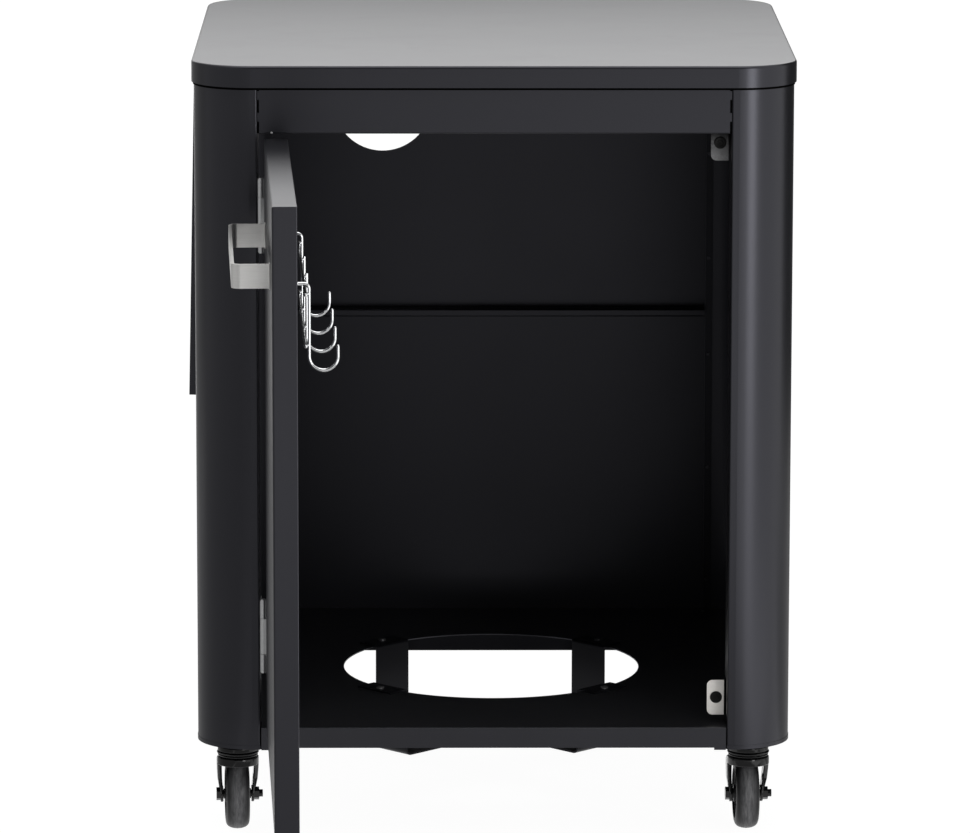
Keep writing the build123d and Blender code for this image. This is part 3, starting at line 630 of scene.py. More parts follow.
@dataclass(frozen=True)
class MouldedRubber:
    """Moulded rubber, plastic or baked plate: a fine pebble, bloom and specks of dust."""

    name: str
    deep: Colour
    light: Colour
    dust: Colour
    smooth: float
    rough: float
    pebble_scale: float
    pebble_depth: float
    specular: float = 0.5
    mould_lines: Point | None = None
    # Painted shade on the tyre's sides: how far the colour darkens there, its near-black colour, and the
    # span of the across attribute that it covers.
    painted_shoulder_shade: float = 0.0
    painted_shoulder_colour: Colour = (0.011, 0.011, 0.012)
    shoulder_span: tuple[float, float] = (0.15, 0.8)
    bloom_scale: float = 45.0
    bloom_share: float = 0.2
    speck_scale: float = 420.0
    speck_share: float = 0.4
    pebble_share: float = 0.4

    def make(self, effects: SharedEffects) -> Material:
        """Builds the material.

        Args:
            effects: The shared node groups.

        Returns:
            The finished material.
        """
        work = MaterialBench.start(self.name)
        bench = work.bench
        grain = work.effect(effects.coat_grain, self.pebble_scale)
        amount = grain.outputs["Drift"]
        height = grain.outputs["Height"]
        if self.mould_lines:
            lines = work.effect(effects.brush_lines, 1.0, work.stretched(self.mould_lines))
            amount = lines.outputs["Line"]
            height = bench.math("ADD", height, amount)
        tone = bench.blend(self.dusty(work, effects), bench.blend(amount, self.deep, self.light), self.dust)
        # Painted shade: the tyre darkens towards its sides, where it faces the dark fork legs.
        if self.painted_shoulder_shade:
            across = bench.add("ShaderNodeAttribute", attribute_name=ACROSS)
            wear_and_painted_shade = bench.span(across.outputs["Fac"], 0.0, self.painted_shoulder_shade, *self.shoulder_span)
            tone = bench.blend(wear_and_painted_shade, tone, self.painted_shoulder_colour)
        work.give("Base Color", tone)
        work.give("Specular IOR Level", self.specular)
        work.give("Roughness", bench.span(grain.outputs["Drift"], self.smooth, self.rough, 0.0, 1.0))
        work.bump(height, self.pebble_share, self.pebble_depth)
        return work.material

    def dusty(self, work: MaterialBench, effects: SharedEffects) -> Wire:
        """Gives the mask of bloom and dust.

        Args:
            work: Bench of the material.
            effects: The shared node groups.

        Returns:
            The mask.
        """
        bloom = work.effect(effects.handling, self.bloom_scale).outputs["Mask"]
        specks = work.effect(effects.specks, self.speck_scale).outputs["Mask"]
        faint = work.bench.math("MULTIPLY", bloom, self.bloom_share)
        spots = work.bench.math("MULTIPLY", specks, self.speck_share)
        return work.bench.math("MAXIMUM", faint, spots)


RECIPES: dict[Slot, PowderCoat | BrushedStainless | BrightMetal | MouldedRubber] = {
    Slot.POWDER_COAT: PowderCoat(),
    Slot.STAINLESS: BrushedStainless(),
    Slot.CHROME_WIRE: BrightMetal(
        "bright_chrome_wire",
        deep=(0.7, 0.705, 0.715),
        light=(0.8, 0.805, 0.815),
        smooth=0.04,
        rough=0.09,
        cloud_scale=600.0,
        peel_depth=0.000006,
    ),
    Slot.BRIGHT_ZINC: BrightMetal(
        "bright_zinc_plate",
        deep=(0.5, 0.505, 0.51),
        light=(0.64, 0.645, 0.65),
        smooth=0.26,
        rough=0.4,
        cloud_scale=380.0,
        peel_depth=0.00002,
    ),
    Slot.BLACK_PLATE: MouldedRubber(
        "gloss_black_plate",
        deep=(0.0026, 0.0026, 0.003),
        light=(0.0042, 0.0042, 0.0047),
        dust=(0.03, 0.03, 0.03),
        smooth=0.09,
        rough=0.14,
        pebble_scale=500.0,
        pebble_depth=0.00001,
        specular=0.36,
    ),
    Slot.BLACK_RUBBER: MouldedRubber(
        "black_rubber",
        deep=(0.012, 0.012, 0.012),
        light=(0.02, 0.02, 0.02),
        dust=(0.08, 0.08, 0.078),
        smooth=0.55,
        rough=0.7,
        pebble_scale=900.0,
        pebble_depth=0.00005,
        specular=0.15,
    ),
    Slot.GREY_HUB: MouldedRubber(
        "grey_hub_plastic",
        deep=(0.03, 0.03, 0.032),
        light=(0.045, 0.045, 0.047),
        dust=(0.12, 0.12, 0.118),
        smooth=0.38,
        rough=0.5,
        pebble_scale=700.0,
        pebble_depth=0.00004,
    ),
    Slot.GREY_TYRE: MouldedRubber(
        "dark_grey_tyre",
        deep=(0.075, 0.075, 0.079),
        light=(0.27, 0.27, 0.278),
        dust=(0.5, 0.5, 0.5),
        smooth=0.36,
        rough=0.46,
        pebble_scale=800.0,
        pebble_depth=0.00006,
        specular=0.2,
        mould_lines=(430.0, 70.0, 70.0),
        # Painted shade on the tyre's sides.
        painted_shoulder_shade=0.96,
    ),
}
# Copy of the coat with less sheen for the back panels: painted shade that darkens the inside of the cabinet.
PAINTED_SHADE_BACK_COAT = PowderCoat("painted_shade_back_coat", specular=0.32)
# Side panels' coat, with painted shade on the inner faces of their rear bends.
SHELL_COAT = PowderCoat("shell_coat", bend_shade_specular=0.24)
# Copy of the coat with more sheen for the door: painted highlight that brightens its reflections.
DOOR_COAT = PowderCoat("door_coat", smooth=0.34, rough=0.36, specular=0.62)
# Lighter copy of the coat for the cabinet's floor panel: painted light on the floor inside the cabinet.
PAINTED_LIGHT_FLOOR_COAT = PowderCoat("painted_light_floor_coat", deep=(0.017, 0.0172, 0.019), light=(0.022, 0.0222, 0.0245))
DEEP_COAT = PowderCoat("deep_shadow_coat", specular=0.12)
# Darker copy of the zinc, painted shade: on the upper stop bracket it darkens to near-black towards the top,
# under the rail; on the strap screws inside the cabinet it is darker all over.
PAINTED_SHADE_ZINC = BrightMetal(
    "painted_shade_zinc_plate",
    deep=(0.11, 0.11, 0.113),
    light=(0.25, 0.25, 0.256),
    smooth=0.34,
    rough=0.46,
    cloud_scale=420.0,
    peel_depth=0.00003,
    metallic=0.6,
    fade=ShadeFade(Axis.Z, 0.743, 0.766),
)
# Lighter copy of the zinc for the lower stop bracket, painted light; its leg on the jamb, past the fade on
# X, is painted shade in near-black.
PAINTED_LIGHT_ZINC = BrightMetal(
    "painted_light_zinc_plate",
    deep=(0.84, 0.815, 0.775),
    light=(0.93, 0.905, 0.865),
    smooth=0.34,
    rough=0.46,
    cloud_scale=380.0,
    peel_depth=0.00002,
    fade=ShadeFade(Axis.X, 0.2466, 0.2469),
)
# Near-black finish with almost no sheen for strips that stand in for shade: painted shadow in gaps and under
# the worktop's lip.
PAINTED_SHADOW_BLACK = MouldedRubber(
    "painted_shadow_black_finish",
    deep=(0.0012, 0.0012, 0.0013),
    light=(0.002, 0.002, 0.0021),
    dust=(0.01, 0.01, 0.01),
    smooth=0.8,
    rough=0.95,
    pebble_scale=900.0,
    pebble_depth=0.00005,
    specular=0.03,
)


class Finishes:
    """Every finish of the cart, built once and looked up by slot."""

    def __init__(self) -> None:
        """Builds the materials."""
        effects = SharedEffects()
        self._made = {slot: recipe.make(effects) for slot, recipe in RECIPES.items()}
        self.shaded_back_coat = PAINTED_SHADE_BACK_COAT.make(effects)
        self.shell_coat = SHELL_COAT.make(effects)
        self.door_coat = DOOR_COAT.make(effects)
        self.lit_floor_coat = PAINTED_LIGHT_FLOOR_COAT.make(effects)
        self.shaded_zinc = PAINTED_SHADE_ZINC.make(effects)
        self.lit_zinc = PAINTED_LIGHT_ZINC.make(effects)
        self.deep_coat = DEEP_COAT.make(effects)
        self.painted_shadow_black = PAINTED_SHADOW_BLACK.make(effects)

    def of(self, slot: Slot) -> Material:
        """Gives the material of a slot."""
        return self._made[slot]


class Shaper:
    """Makes small forms with mesh operators and gathers them; sizes are in millimetres."""

    @staticmethod
    def only(items: Iterable[Any], kind: type) -> list[Any]:
        """Picks the elements of one kind from an operator's result."""
        return [item for item in items if isinstance(item, kind)]

    @staticmethod
    def shift(place: Sequence[float]) -> Matrix:
        """Gives the matrix that moves a form's origin to a place."""
        return Matrix.Translation(Vector(place) * MM)

    @staticmethod
    def stand(place: Sequence[float], toward: Point) -> Matrix:
        """Gives the matrix that sets a form on a place, with +Z turned to a direction."""
        return Shaper.shift(place) @ Vector(toward).to_track_quat("Z", "Y").to_matrix().to_4x4()

    @staticmethod
    def plate(width: float, depth: float) -> Form:
        """Makes a level rectangle of one face.

        Args:
            width: Length on X.
            depth: Length on Y.

        Returns:
            The rectangle, centred on the origin.
        """
        form = bmesh.new()
        bmesh.ops.create_grid(form, x_segments=1, y_segments=1, size=MM / 2.0)
        bmesh.ops.scale(form, vec=(width, depth, 1.0), verts=form.verts)
        return form

    @staticmethod
    def soften(form: Form, geom: Sequence[Any], size: float, segments: int, affect: str = "EDGES") -> None:
        """Rounds edges or corners.

        Args:
            form: Form to change.
            geom: Its edges or corners to round.
            size: Radius.
            segments: Faces across each one.
            affect: Blender's name for what is rounded.
        """
        bmesh.ops.bevel(
            form,
            geom=geom,
            offset=size * MM,
            segments=segments,
            profile=0.5,
            affect=affect,
            material=-1,
        )

    @staticmethod
    def lathe(profile: Profile, steps: int, closed: bool = False) -> Form:
        """Spins a profile round the Z axis.

        Args:
            profile: Points as radius and height.
            steps: Faces round the axis.
            closed: Joins the last point to the first.

        Returns:
            The spun form.
        """
        form = bmesh.new()
        rim = [form.verts.new((radius * MM, 0.0, height * MM)) for radius, height in profile]
        ends = [*rim[1:], rim[0]] if closed else rim[1:]
        edges = [form.edges.new(pair) for pair in zip(rim, ends)]
        bmesh.ops.spin(
            form,
            geom=[*rim, *edges],
            cent=(0.0, 0.0, 0.0),
            axis=UP,
            dvec=(0.0, 0.0, 0.0),
            angle=math.tau,
            steps=steps,
            use_merge=True,
            use_duplicate=False,
        )
        bmesh.ops.remove_doubles(form, verts=form.verts, dist=MERGE_GAP)
        bmesh.ops.recalc_face_normals(form, faces=form.faces)
        return form

    @staticmethod
    def block(size: Point, edge: float, segments: int) -> Form:
        """Makes a block with rounded edges.

        Args:
            size: Lengths on X, Y and Z.
            edge: Radius of its edges.
            segments: Faces across each edge.

        Returns:
            The block, centred on the origin.
        """
        form = bmesh.new()
        bmesh.ops.create_cube(form, size=MM)
        bmesh.ops.scale(form, vec=size, verts=form.verts)
        Shaper.soften(form, form.edges, edge, segments)
        return form

    @staticmethod
    def cross_head(radius: float, height: float) -> Form:
        """Makes a low screw head with a cross recess.

        Args:
            radius: Outer radius.
            height: Height over the plane that it sits on.

        Returns:
            The head, standing on the origin along +Z.
        """
        arm, reach, fall, recess = 0.14, 0.56, 0.45, 0.5
        inner_row, outer_row, upward = 0.4, 0.8, 0.5
        form = bmesh.new()
        bmesh.ops.create_grid(form, x_segments=5, y_segments=5, size=1.0)
        for vert in form.verts:
            spot = Vector((0.0, 0.0))
            for axis in range(2):
                row = abs(vert.co[axis])
                size = arm if row < inner_row else reach if row < outer_row else 1.0
                spot[axis] = math.copysign(size, vert.co[axis])
            if max(abs(spot.x), abs(spot.y)) > reach:
                spot.normalize()
            vert.co = (*(spot * radius * MM), height * MM * (1.0 - fall * spot.length_squared))
        rim = [edge for edge in form.edges if edge.is_boundary]
        skirt = bmesh.ops.extrude_edge_only(form, edges=rim)["geom"]
        drop = (0.0, 0.0, -height * MM * (1.0 - fall))
        bmesh.ops.translate(form, vec=drop, verts=Shaper.only(skirt, bmesh.types.BMVert))
        near = radius * MM * (reach + arm) / 2.0
        cross = []
        for face in form.faces:
            middle = face.calc_center_median().to_2d()
            on_arm = min(abs(middle.x), abs(middle.y)) < arm * radius * MM / 2.0
            if face.normal.z > upward and middle.length < near and on_arm:
                cross.append(face)
        made = bmesh.ops.extrude_face_region(form, geom=cross)["geom"]
        sink = (0.0, 0.0, -height * MM * recess)
        bmesh.ops.translate(form, vec=sink, verts=Shaper.only(made, bmesh.types.BMVert))
        return form

    @staticmethod
    def loft(sections: Sequence[tuple[Point, float, float]], edge: float, segments: int = 2) -> Form:
        """Draws a rectangle through level sections.

        Args:
            sections: Each one's middle, its width on X and its depth on Y, from top to base.
            edge: Radius of the long edges.
            segments: Faces across each long edge.

        Returns:
            The closed form.
        """
        middle, width, depth = sections[0]
        form = Shaper.plate(width, depth)
        face = next(iter(form.faces))
        bmesh.ops.transform(form, matrix=Shaper.shift(middle), verts=form.verts)
        for number, (place, wide, deep) in enumerate(sections[1:]):
            made = bmesh.ops.extrude_face_region(form, geom=[face], use_keep_orig=number == 0)["geom"]
            face = next(iter(Shaper.only(made, bmesh.types.BMFace)))
            grow = Matrix.Diagonal((wide / width, deep / depth, 1.0, 1.0))
            move = Shaper.shift(place) @ grow @ Shaper.shift(middle).inverted()
            bmesh.ops.transform(form, matrix=move, verts=face.verts)
            middle, width, depth = place, wide, deep
        bmesh.ops.recalc_face_normals(form, faces=form.faces)
        long_edges = [line for line in form.edges if abs(line.verts[0].co.z - line.verts[1].co.z) > MM]
        Shaper.soften(form, long_edges, edge, segments)
        return form

    @staticmethod
    def band(grow: float, width: float, low: float, high: float, segments: int = 14) -> Form:
        """Makes an upright band around the cabinet's body.

        Args:
            grow: How far it stands out from the body.
            width: Thickness of the band.
            low: Level of its lower edge.
            high: Level of its upper edge.
            segments: Faces round each corner.

        Returns:
            The band.
        """
        form = Shaper.plate(BODY_WIDTH + 2.0 * grow, BODY_DEPTH + 2.0 * grow)
        Shaper.soften(form, form.verts, BODY_RADIUS + grow, segments, "VERTICES")
        inside = form.faces[:]
        ring = bmesh.ops.inset_region(
            form, faces=inside, thickness=width * MM, use_boundary=True, use_even_offset=True
        )
        bmesh.ops.delete(form, geom=inside, context="FACES")
        made = bmesh.ops.extrude_face_region(form, geom=ring["faces"], use_keep_orig=True)["geom"]
        lower = Shaper.only(made, bmesh.types.BMVert)
        bmesh.ops.translate(form, vec=(0.0, 0.0, (low - high) * MM), verts=lower)
        bmesh.ops.translate(form, vec=(0.0, 0.0, high * MM), verts=form.verts)
        return form

    @staticmethod
    def turned(profile: Profile, steps: int, spots: Iterable[tuple[Point, Point]]) -> list[Placed]:
        """Spins a profile for each of several spots, which are a place and the direction of its +Z."""
        return [(Shaper.lathe(profile, steps), Shaper.stand(place, toward)) for place, toward in spots]

    @staticmethod
    def gather(parts: Iterable[Placed]) -> Form:
        """Gathers placed forms to one form.

        Args:
            parts: Forms, which are freed here, and where each one goes.

        Returns:
            The gathered form.
        """
        whole = bmesh.new()
        for part, matrix in parts:
            bmesh.ops.transform(part, matrix=matrix, verts=part.verts)
            mesh = bpy.data.meshes.new("gathered")
            part.to_mesh(mesh)
            part.free()
            whole.from_mesh(mesh)
            bpy.data.meshes.remove(mesh)
        return whole


@dataclass
class SubAssembly:
    """A group of the cart's nodes and pieces with its finishes."""

    finishes: Finishes

    def dress(self, slot: Slot, nodes: Iterable[str], finish: Material | None = None) -> None:
        """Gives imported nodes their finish.

        Args:
            slot: Slot whose finish they take.
            nodes: Names of the nodes.
            finish: Variant of the slot's finish to use instead.
        """
        for name in nodes:
            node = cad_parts[name]
            for place in node.material_slots:
                place.material = finish or self.finishes.of(slot)
            LOG.info("dressed %s in %s", name, slot.value)

    def piece(
        self,
        form: Form,
        name: str,
        body: str,
        slot: Slot,
        replaced: Sequence[str] = (),
        finish: Material | None = None,
    ) -> None:
        """Turns a finished form into a piece of the cart.

        Args:
            form: The shape, in metres in the frame of the cart; it is freed here.
            name: Name of the piece.
            body: Body that it rides on.
            slot: Slot whose finish it takes.
            replaced: Nodes that it stands for.
            finish: Variant of the slot's finish to use instead.
        """
        bmesh.ops.remove_doubles(form, verts=form.verts, dist=MERGE_GAP)
        bmesh.ops.recalc_face_normals(form, faces=form.faces)
        made = set_down(form, name, finish or self.finishes.of(slot))
        made.data.shade_smooth()
        made.data.set_sharp_from_angle(angle=SMOOTH_ANGLE)
        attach(made, body)
        if replaced:
            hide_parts(*replaced)
        LOG.info("made %s on %s", name, body)


@dataclass
class Worktop(SubAssembly):
    """The folded top with its lip, and a near-black strip of painted shadow under the lip."""

    shadow_strip_gap: float = 0.1
    shadow_strip_width: float = 0.8
    shadow_strip_top: float = 820.5
    shadow_strip_height: float = 4.2

    def build(self) -> None:
        """Dresses the top and lays the strip of painted shadow under its lip."""
        self.dress(Slot.POWDER_COAT, ["top_panel"])
        low = self.shadow_strip_top - self.shadow_strip_height
        # Painted shadow: a near-black band in the gap under the lip, where the gap lies in shade.
        form = Shaper.band(self.shadow_strip_gap + self.shadow_strip_width, self.shadow_strip_width, low, self.shadow_strip_top)
        self.piece(form, "lip_painted_shadow_strip", "cabinet", Slot.BLACK_RUBBER, finish=self.finishes.painted_shadow_black)


@dataclass
class CabinetShell(SubAssembly):
    """Side panels, rail, floor, base channels and the two-part back with its rivets."""

    rivet_x: float = 252.5
    rivet_y: float = 307.7
    rivet_levels: tuple[float, ...] = (165.0, 297.75, 430.5, 542.5, 663.5, 784.5)
    rivet_steps: int = 24
    rivet: Profile = (
        (0.0, 0.55), (0.9, 0.55), (1.05, 1.2), (1.6, 1.4), (2.6, 1.15), (3.3, 0.55), (3.5, 0.0),
        (2.0, 0.0), (2.0, -3.4), (1.8, -3.6), (0.0, -3.6),
    )
    small_screws: tuple[tuple[Point, Point, float], ...] = (
        ((248.0, 284.0, 131.2), (0.0, -0.5, 1.0), 1.9),
        ((-248.0, 284.0, 131.2), (0.0, -0.5, 1.0), 1.9),
        ((-234.0, -306.4, 771.2), FRONT, 1.2),
    )
    open_half: float = 249.0
    hem_proud: float = 0.4
    hem_wall: float = 0.35
    hem_levels: tuple[float, float] = (107.2, 111.4)
    # Near-black blocks that fill gaps at the jambs and the base: painted shade where these gaps are dark.
    strip_edge: float = 0.2
    strips: tuple[tuple[Point, Point], ...] = (
        ((1.0, 1.6, 23.6), (248.5, -305.0, 119.1)),
        ((2.0, 1.4, 12.4), (248.0, -304.8, 776.7)),
        ((2.0, 1.4, 13.8), (248.0, -304.8, 799.0)),
        ((2.0, 1.4, 4.4), (248.0, -304.8, 817.3)),
    )

    def build(self) -> None:
        """Dresses the shell and sets its rivets, screws and hems, and near-black strips of painted shade in
        its gaps.
        """
        finishes = self.finishes
        self.dress(Slot.POWDER_COAT, ["front_rail", "front_base_channel"])
        self.dress(Slot.POWDER_COAT, ["rear_base_channel"], finishes.deep_coat)
        self.dress(Slot.POWDER_COAT, ["left_side_panel", "right_side_panel"], finishes.shell_coat)
        # The floor panel takes painted light: a lighter copy of the coat.
        self.dress(Slot.POWDER_COAT, ["floor_panel"], finishes.lit_floor_coat)
        # The back panels take painted shade: a copy of the coat with less sheen.
        self.dress(Slot.POWDER_COAT, ["back_upper_panel", "back_lower_panel"], finishes.shaded_back_coat)
        sides = (-self.rivet_x, self.rivet_x)
        spots = [((across, self.rivet_y, level), BACK) for across in sides for level in self.rivet_levels]
        rivets = Shaper.turned(self.rivet, self.rivet_steps, spots)
        self.piece(Shaper.gather(rivets), "back_rivet_heads", "cabinet", Slot.POWDER_COAT, ["back_rivets"])
        screws = (
            (Shaper.cross_head(size, size / 2.0), Shaper.stand(place, toward))
            for place, toward, size in self.small_screws
        )
        self.piece(Shaper.gather(screws), "small_screws", "cabinet", Slot.BRIGHT_ZINC)
        for side, hand in ((-1.0, "left"), (1.0, "right")):
            self.piece(self.hem(side), f"{hand}_base_hem", "cabinet", Slot.POWDER_COAT)
        strips = (
            (Shaper.block(size, self.strip_edge, segments=2), Shaper.shift((side * across, along, level)))
            for size, (across, along, level) in self.strips
            for side in (-1, 1)
        )
        black = finishes.painted_shadow_black
        self.piece(Shaper.gather(strips), "painted_shadow_gap_strips", "cabinet", Slot.BLACK_RUBBER, finish=black)

    def hem(self, side: float) -> Form:
        """Makes the folded hem around the foot of one side panel.

        Args:
            side: -1 for the left panel and 1 for the right one.

        Returns:
            The form.
        """
        form = Shaper.band(self.hem_proud, self.hem_wall, *self.hem_levels)
        bmesh.ops.recalc_face_normals(form, faces=form.faces)
        cut = bmesh.ops.bisect_plane(
            form,
            geom=[*form.verts, *form.edges, *form.faces],
            plane_co=(side * self.open_half * MM, 0.0, 0.0),
            plane_no=(-side, 0.0, 0.0),
            clear_outer=True,
        )["geom_cut"]
        bmesh.ops.holes_fill(form, edges=Shaper.only(cut, bmesh.types.BMEdge))
        return form


@dataclass
class BottleCradle(SubAssembly):
    """Two crossing straps that carry a gas bottle, and their screws."""

    ring: float = 173.5
    seat: float = 133.0
    first_turn: float = 45.0
    screw_count: int = 4
    head_radius: float = 4.5
    head_height: float = 2.2
    slot_turn: float = 1.7

    def build(self) -> None:
        """Dresses the straps and sets their screws."""
        self.dress(Slot.POWDER_COAT, ["lower_bottle_strap", "upper_bottle_strap"], self.finishes.deep_coat)
        screws = []
        for number in range(self.screw_count):
            turn = math.radians(self.first_turn + 360.0 / self.screw_count * number)
            place = (self.ring * math.cos(turn), self.ring * math.sin(turn), self.seat)
            head = Shaper.cross_head(self.head_radius, self.head_height)
            screws.append((head, Shaper.stand(place, UP) @ Matrix.Rotation(turn * self.slot_turn, 4, "Z")))
        form = Shaper.gather(screws)
        # The strap screws take the darker copy of the zinc: painted shade inside the cabinet.
        shaded_screw_finish = self.finishes.shaded_zinc
        self.piece(form, "strap_screw_heads", "cabinet", Slot.BRIGHT_ZINC, ["strap_screws"], shaded_screw_finish)


@dataclass
class DoorStops(SubAssembly):
    """Zinc angles with round bumpers that the door closes on."""

    bumper_x: float = 238.2
    bumper_y: float = -279.0
    bumper_levels: tuple[float, float] = (757.0, 158.2)
    bumper_steps: int = 36
    bumper: Profile = (
        (0.0, 1.2), (0.9, 1.25), (1.3, 1.6), (2.6, 1.75), (3.0, 1.45), (3.5, 1.45),
        (3.9, 1.95), (5.0, 2.15), (6.0, 1.8), (6.4, 1.1), (6.4, 0.0),
    )

    def build(self) -> None:
        """Dresses the angles and sets the bumpers."""
        # The lower stop bracket takes the lighter copy of the zinc: painted light, with painted shade on its
        # leg by the jamb.
        self.dress(Slot.BRIGHT_ZINC, ["lower_stop_bracket"], self.finishes.lit_zinc)
        # The upper stop bracket takes the darker copy of the zinc: painted shade under the rail.
        self.dress(Slot.BRIGHT_ZINC, ["upper_stop_bracket"], self.finishes.shaded_zinc)
        spots = [((self.bumper_x, self.bumper_y, level), FRONT) for level in self.bumper_levels]
        pads = Shaper.turned(self.bumper, self.bumper_steps, spots)
        self.piece(Shaper.gather(pads), "stop_bumper_pads", "cabinet", Slot.BLACK_RUBBER, ["stop_bumpers"])


@dataclass
class DoorPart(SubAssembly):
    """Anything that is placed in the door's own frame."""

    axis: Point = (-245.25, -309.5, 0.0)
    open_angle: float = math.radians(87.6)

    def in_door(self) -> Matrix:
        """Gives the matrix from the door's frame, in metres, to the cart's."""
        return Shaper.shift(self.axis) @ Matrix.Rotation(-self.open_angle, 4, "Z")


@dataclass
class Door(DoorPart):
    """The door pan, its liner and the strap handle with its weld beads."""

    foot_spots: tuple[float, float] = (114.5, 381.5)
    foot_level: float = 680.25
    face: float = 3.0
    bead: Point = (6.2, 1.2, 27.0)
    bead_edge: float = 0.55

    def build(self) -> None:
        """Dresses the door and lays the weld beads."""
        self.dress(Slot.POWDER_COAT, ["door_pan", "door_liner"], self.finishes.door_coat)
        self.dress(Slot.STAINLESS, ["door_handle"])
        beads = []
        for spot in self.foot_spots:
            place = self.in_door() @ Shaper.shift((spot, self.face - self.bead[1] / 2.0, self.foot_level))
            beads.append((Shaper.block(self.bead, self.bead_edge, segments=3), place))
        self.piece(Shaper.gather(beads), "handle_weld_beads", "door", Slot.STAINLESS)


@dataclass
class DoorHinges(DoorPart):
    """Two butt hinges between door and cabinet, with their screws."""

    levels: tuple[float, float] = (684.0, 232.0)
    screw_steps: tuple[float, float, float] = (-27.0, 0.0, 27.0)
    screw_reach: float = 15.0
    screw_radius: float = 3.4
    screw_height: float = 0.6
    frame_face: float = -247.5
    door_face: float = 2.25

    def build(self) -> None:
        """Dresses the leaves and pins and sets the screws."""
        leaves = [f"{level}_hinge_{side}_leaf" for level in ("upper", "lower") for side in ("frame", "door")]
        self.dress(Slot.BRIGHT_ZINC, [*leaves, "hinge_pins"])
        on_frame = Shaper.stand((self.frame_face, self.axis[1] + self.screw_reach, 0.0), RIGHT)
        on_door = self.in_door() @ Shaper.stand((self.door_face, self.screw_reach, 0.0), LEFT)
        self.piece(self.screws(on_frame), "hinge_frame_screws", "cabinet", Slot.BRIGHT_ZINC)
        self.piece(self.screws(on_door), "hinge_door_screws", "door", Slot.BRIGHT_ZINC)

    def screws(self, foot: Matrix) -> Form:
        """Sets the screws of one side of both hinges.

        Args:
            foot: Where a screw at ground level would stand.

        Returns:
            The form.
        """
        rises = [level + step for level in self.levels for step in self.screw_steps]
        return Shaper.gather(
            (Shaper.cross_head(self.screw_radius, self.screw_height), Shaper.shift((0.0, 0.0, rise)) @ foot)
            for rise in rises
        )


@dataclass
class HookRack(DoorPart):
    """Wire hooks welded to two rods inside the door."""

    spots: tuple[float, ...] = (80.0, 190.0, 300.0, 410.0)
    hook_y: float = 41.0
    hook_top: float = 677.0
    tip_y: float = 69.5
    tip_level: float = 614.0
    rod_y: float = 37.5
    rod_levels: tuple[float, float] = (666.5, 615.0)
    rod_over: float = 6.0
    liner_face: float = 28.0
    wire: float = 1.75
    dome_step: int = 15
    nugget: Profile = (
        (0.0, -1.0), (1.1, -0.85), (1.9, -0.35), (2.1, 0.0), (1.9, 0.35), (1.1, 0.85), (0.0, 1.0),
    )
    collar: Profile = ((3.6, 0.0), (2.7, 0.35), (2.1, 1.0), (1.78, 2.0))
    tip_steps: int = 20
    nugget_steps: int = 18
    collar_steps: int = 24

    def build(self) -> None:
        """Dresses the rods and hooks and adds tips, weld nuggets and weld collars."""
        hooks = [f"hook_{number}" for number in range(1, len(self.spots) + 1)]
        self.dress(Slot.CHROME_WIRE, ["upper_hook_rod", "lower_hook_rod", *hooks])
        placed = ((form, self.in_door() @ matrix) for form, matrix in (*self.tips(), *self.welds()))
        self.piece(Shaper.gather(placed), "hook_rack_welds", "door", Slot.CHROME_WIRE)

    def tips(self) -> list[Placed]:
        """Rounds the ends of hooks and rods.

        Returns:
            Domes and their places in the door's frame.
        """
        turns = [math.radians(angle) for angle in range(0, 91, self.dome_step)]
        dome = tuple((self.wire * math.cos(turn), self.wire * math.sin(turn)) for turn in turns)
        ends = [((spot, self.tip_y, self.tip_level), UP) for spot in self.spots]
        for level in self.rod_levels:
            ends.append(((self.spots[0] - self.rod_over, self.rod_y, level), LEFT))
            ends.append(((self.spots[-1] + self.rod_over, self.rod_y, level), RIGHT))
        return Shaper.turned(dome, self.tip_steps, ends)

    def welds(self) -> list[Placed]:
        """Welds each hook to both rods, and the two outer hooks to the liner.

        Returns:
            Nuggets and collars with their places in the door's frame.
        """
        between = (self.hook_y + self.rod_y) / 2.0
        crossings = [((spot, between, level), BACK) for spot in self.spots for level in self.rod_levels]
        roots = [((spot, self.liner_face, self.hook_top), BACK) for spot in (self.spots[0], self.spots[-1])]
        nuggets = Shaper.turned(self.nugget, self.nugget_steps, crossings)
        return [*nuggets, *Shaper.turned(self.collar, self.collar_steps, roots)]


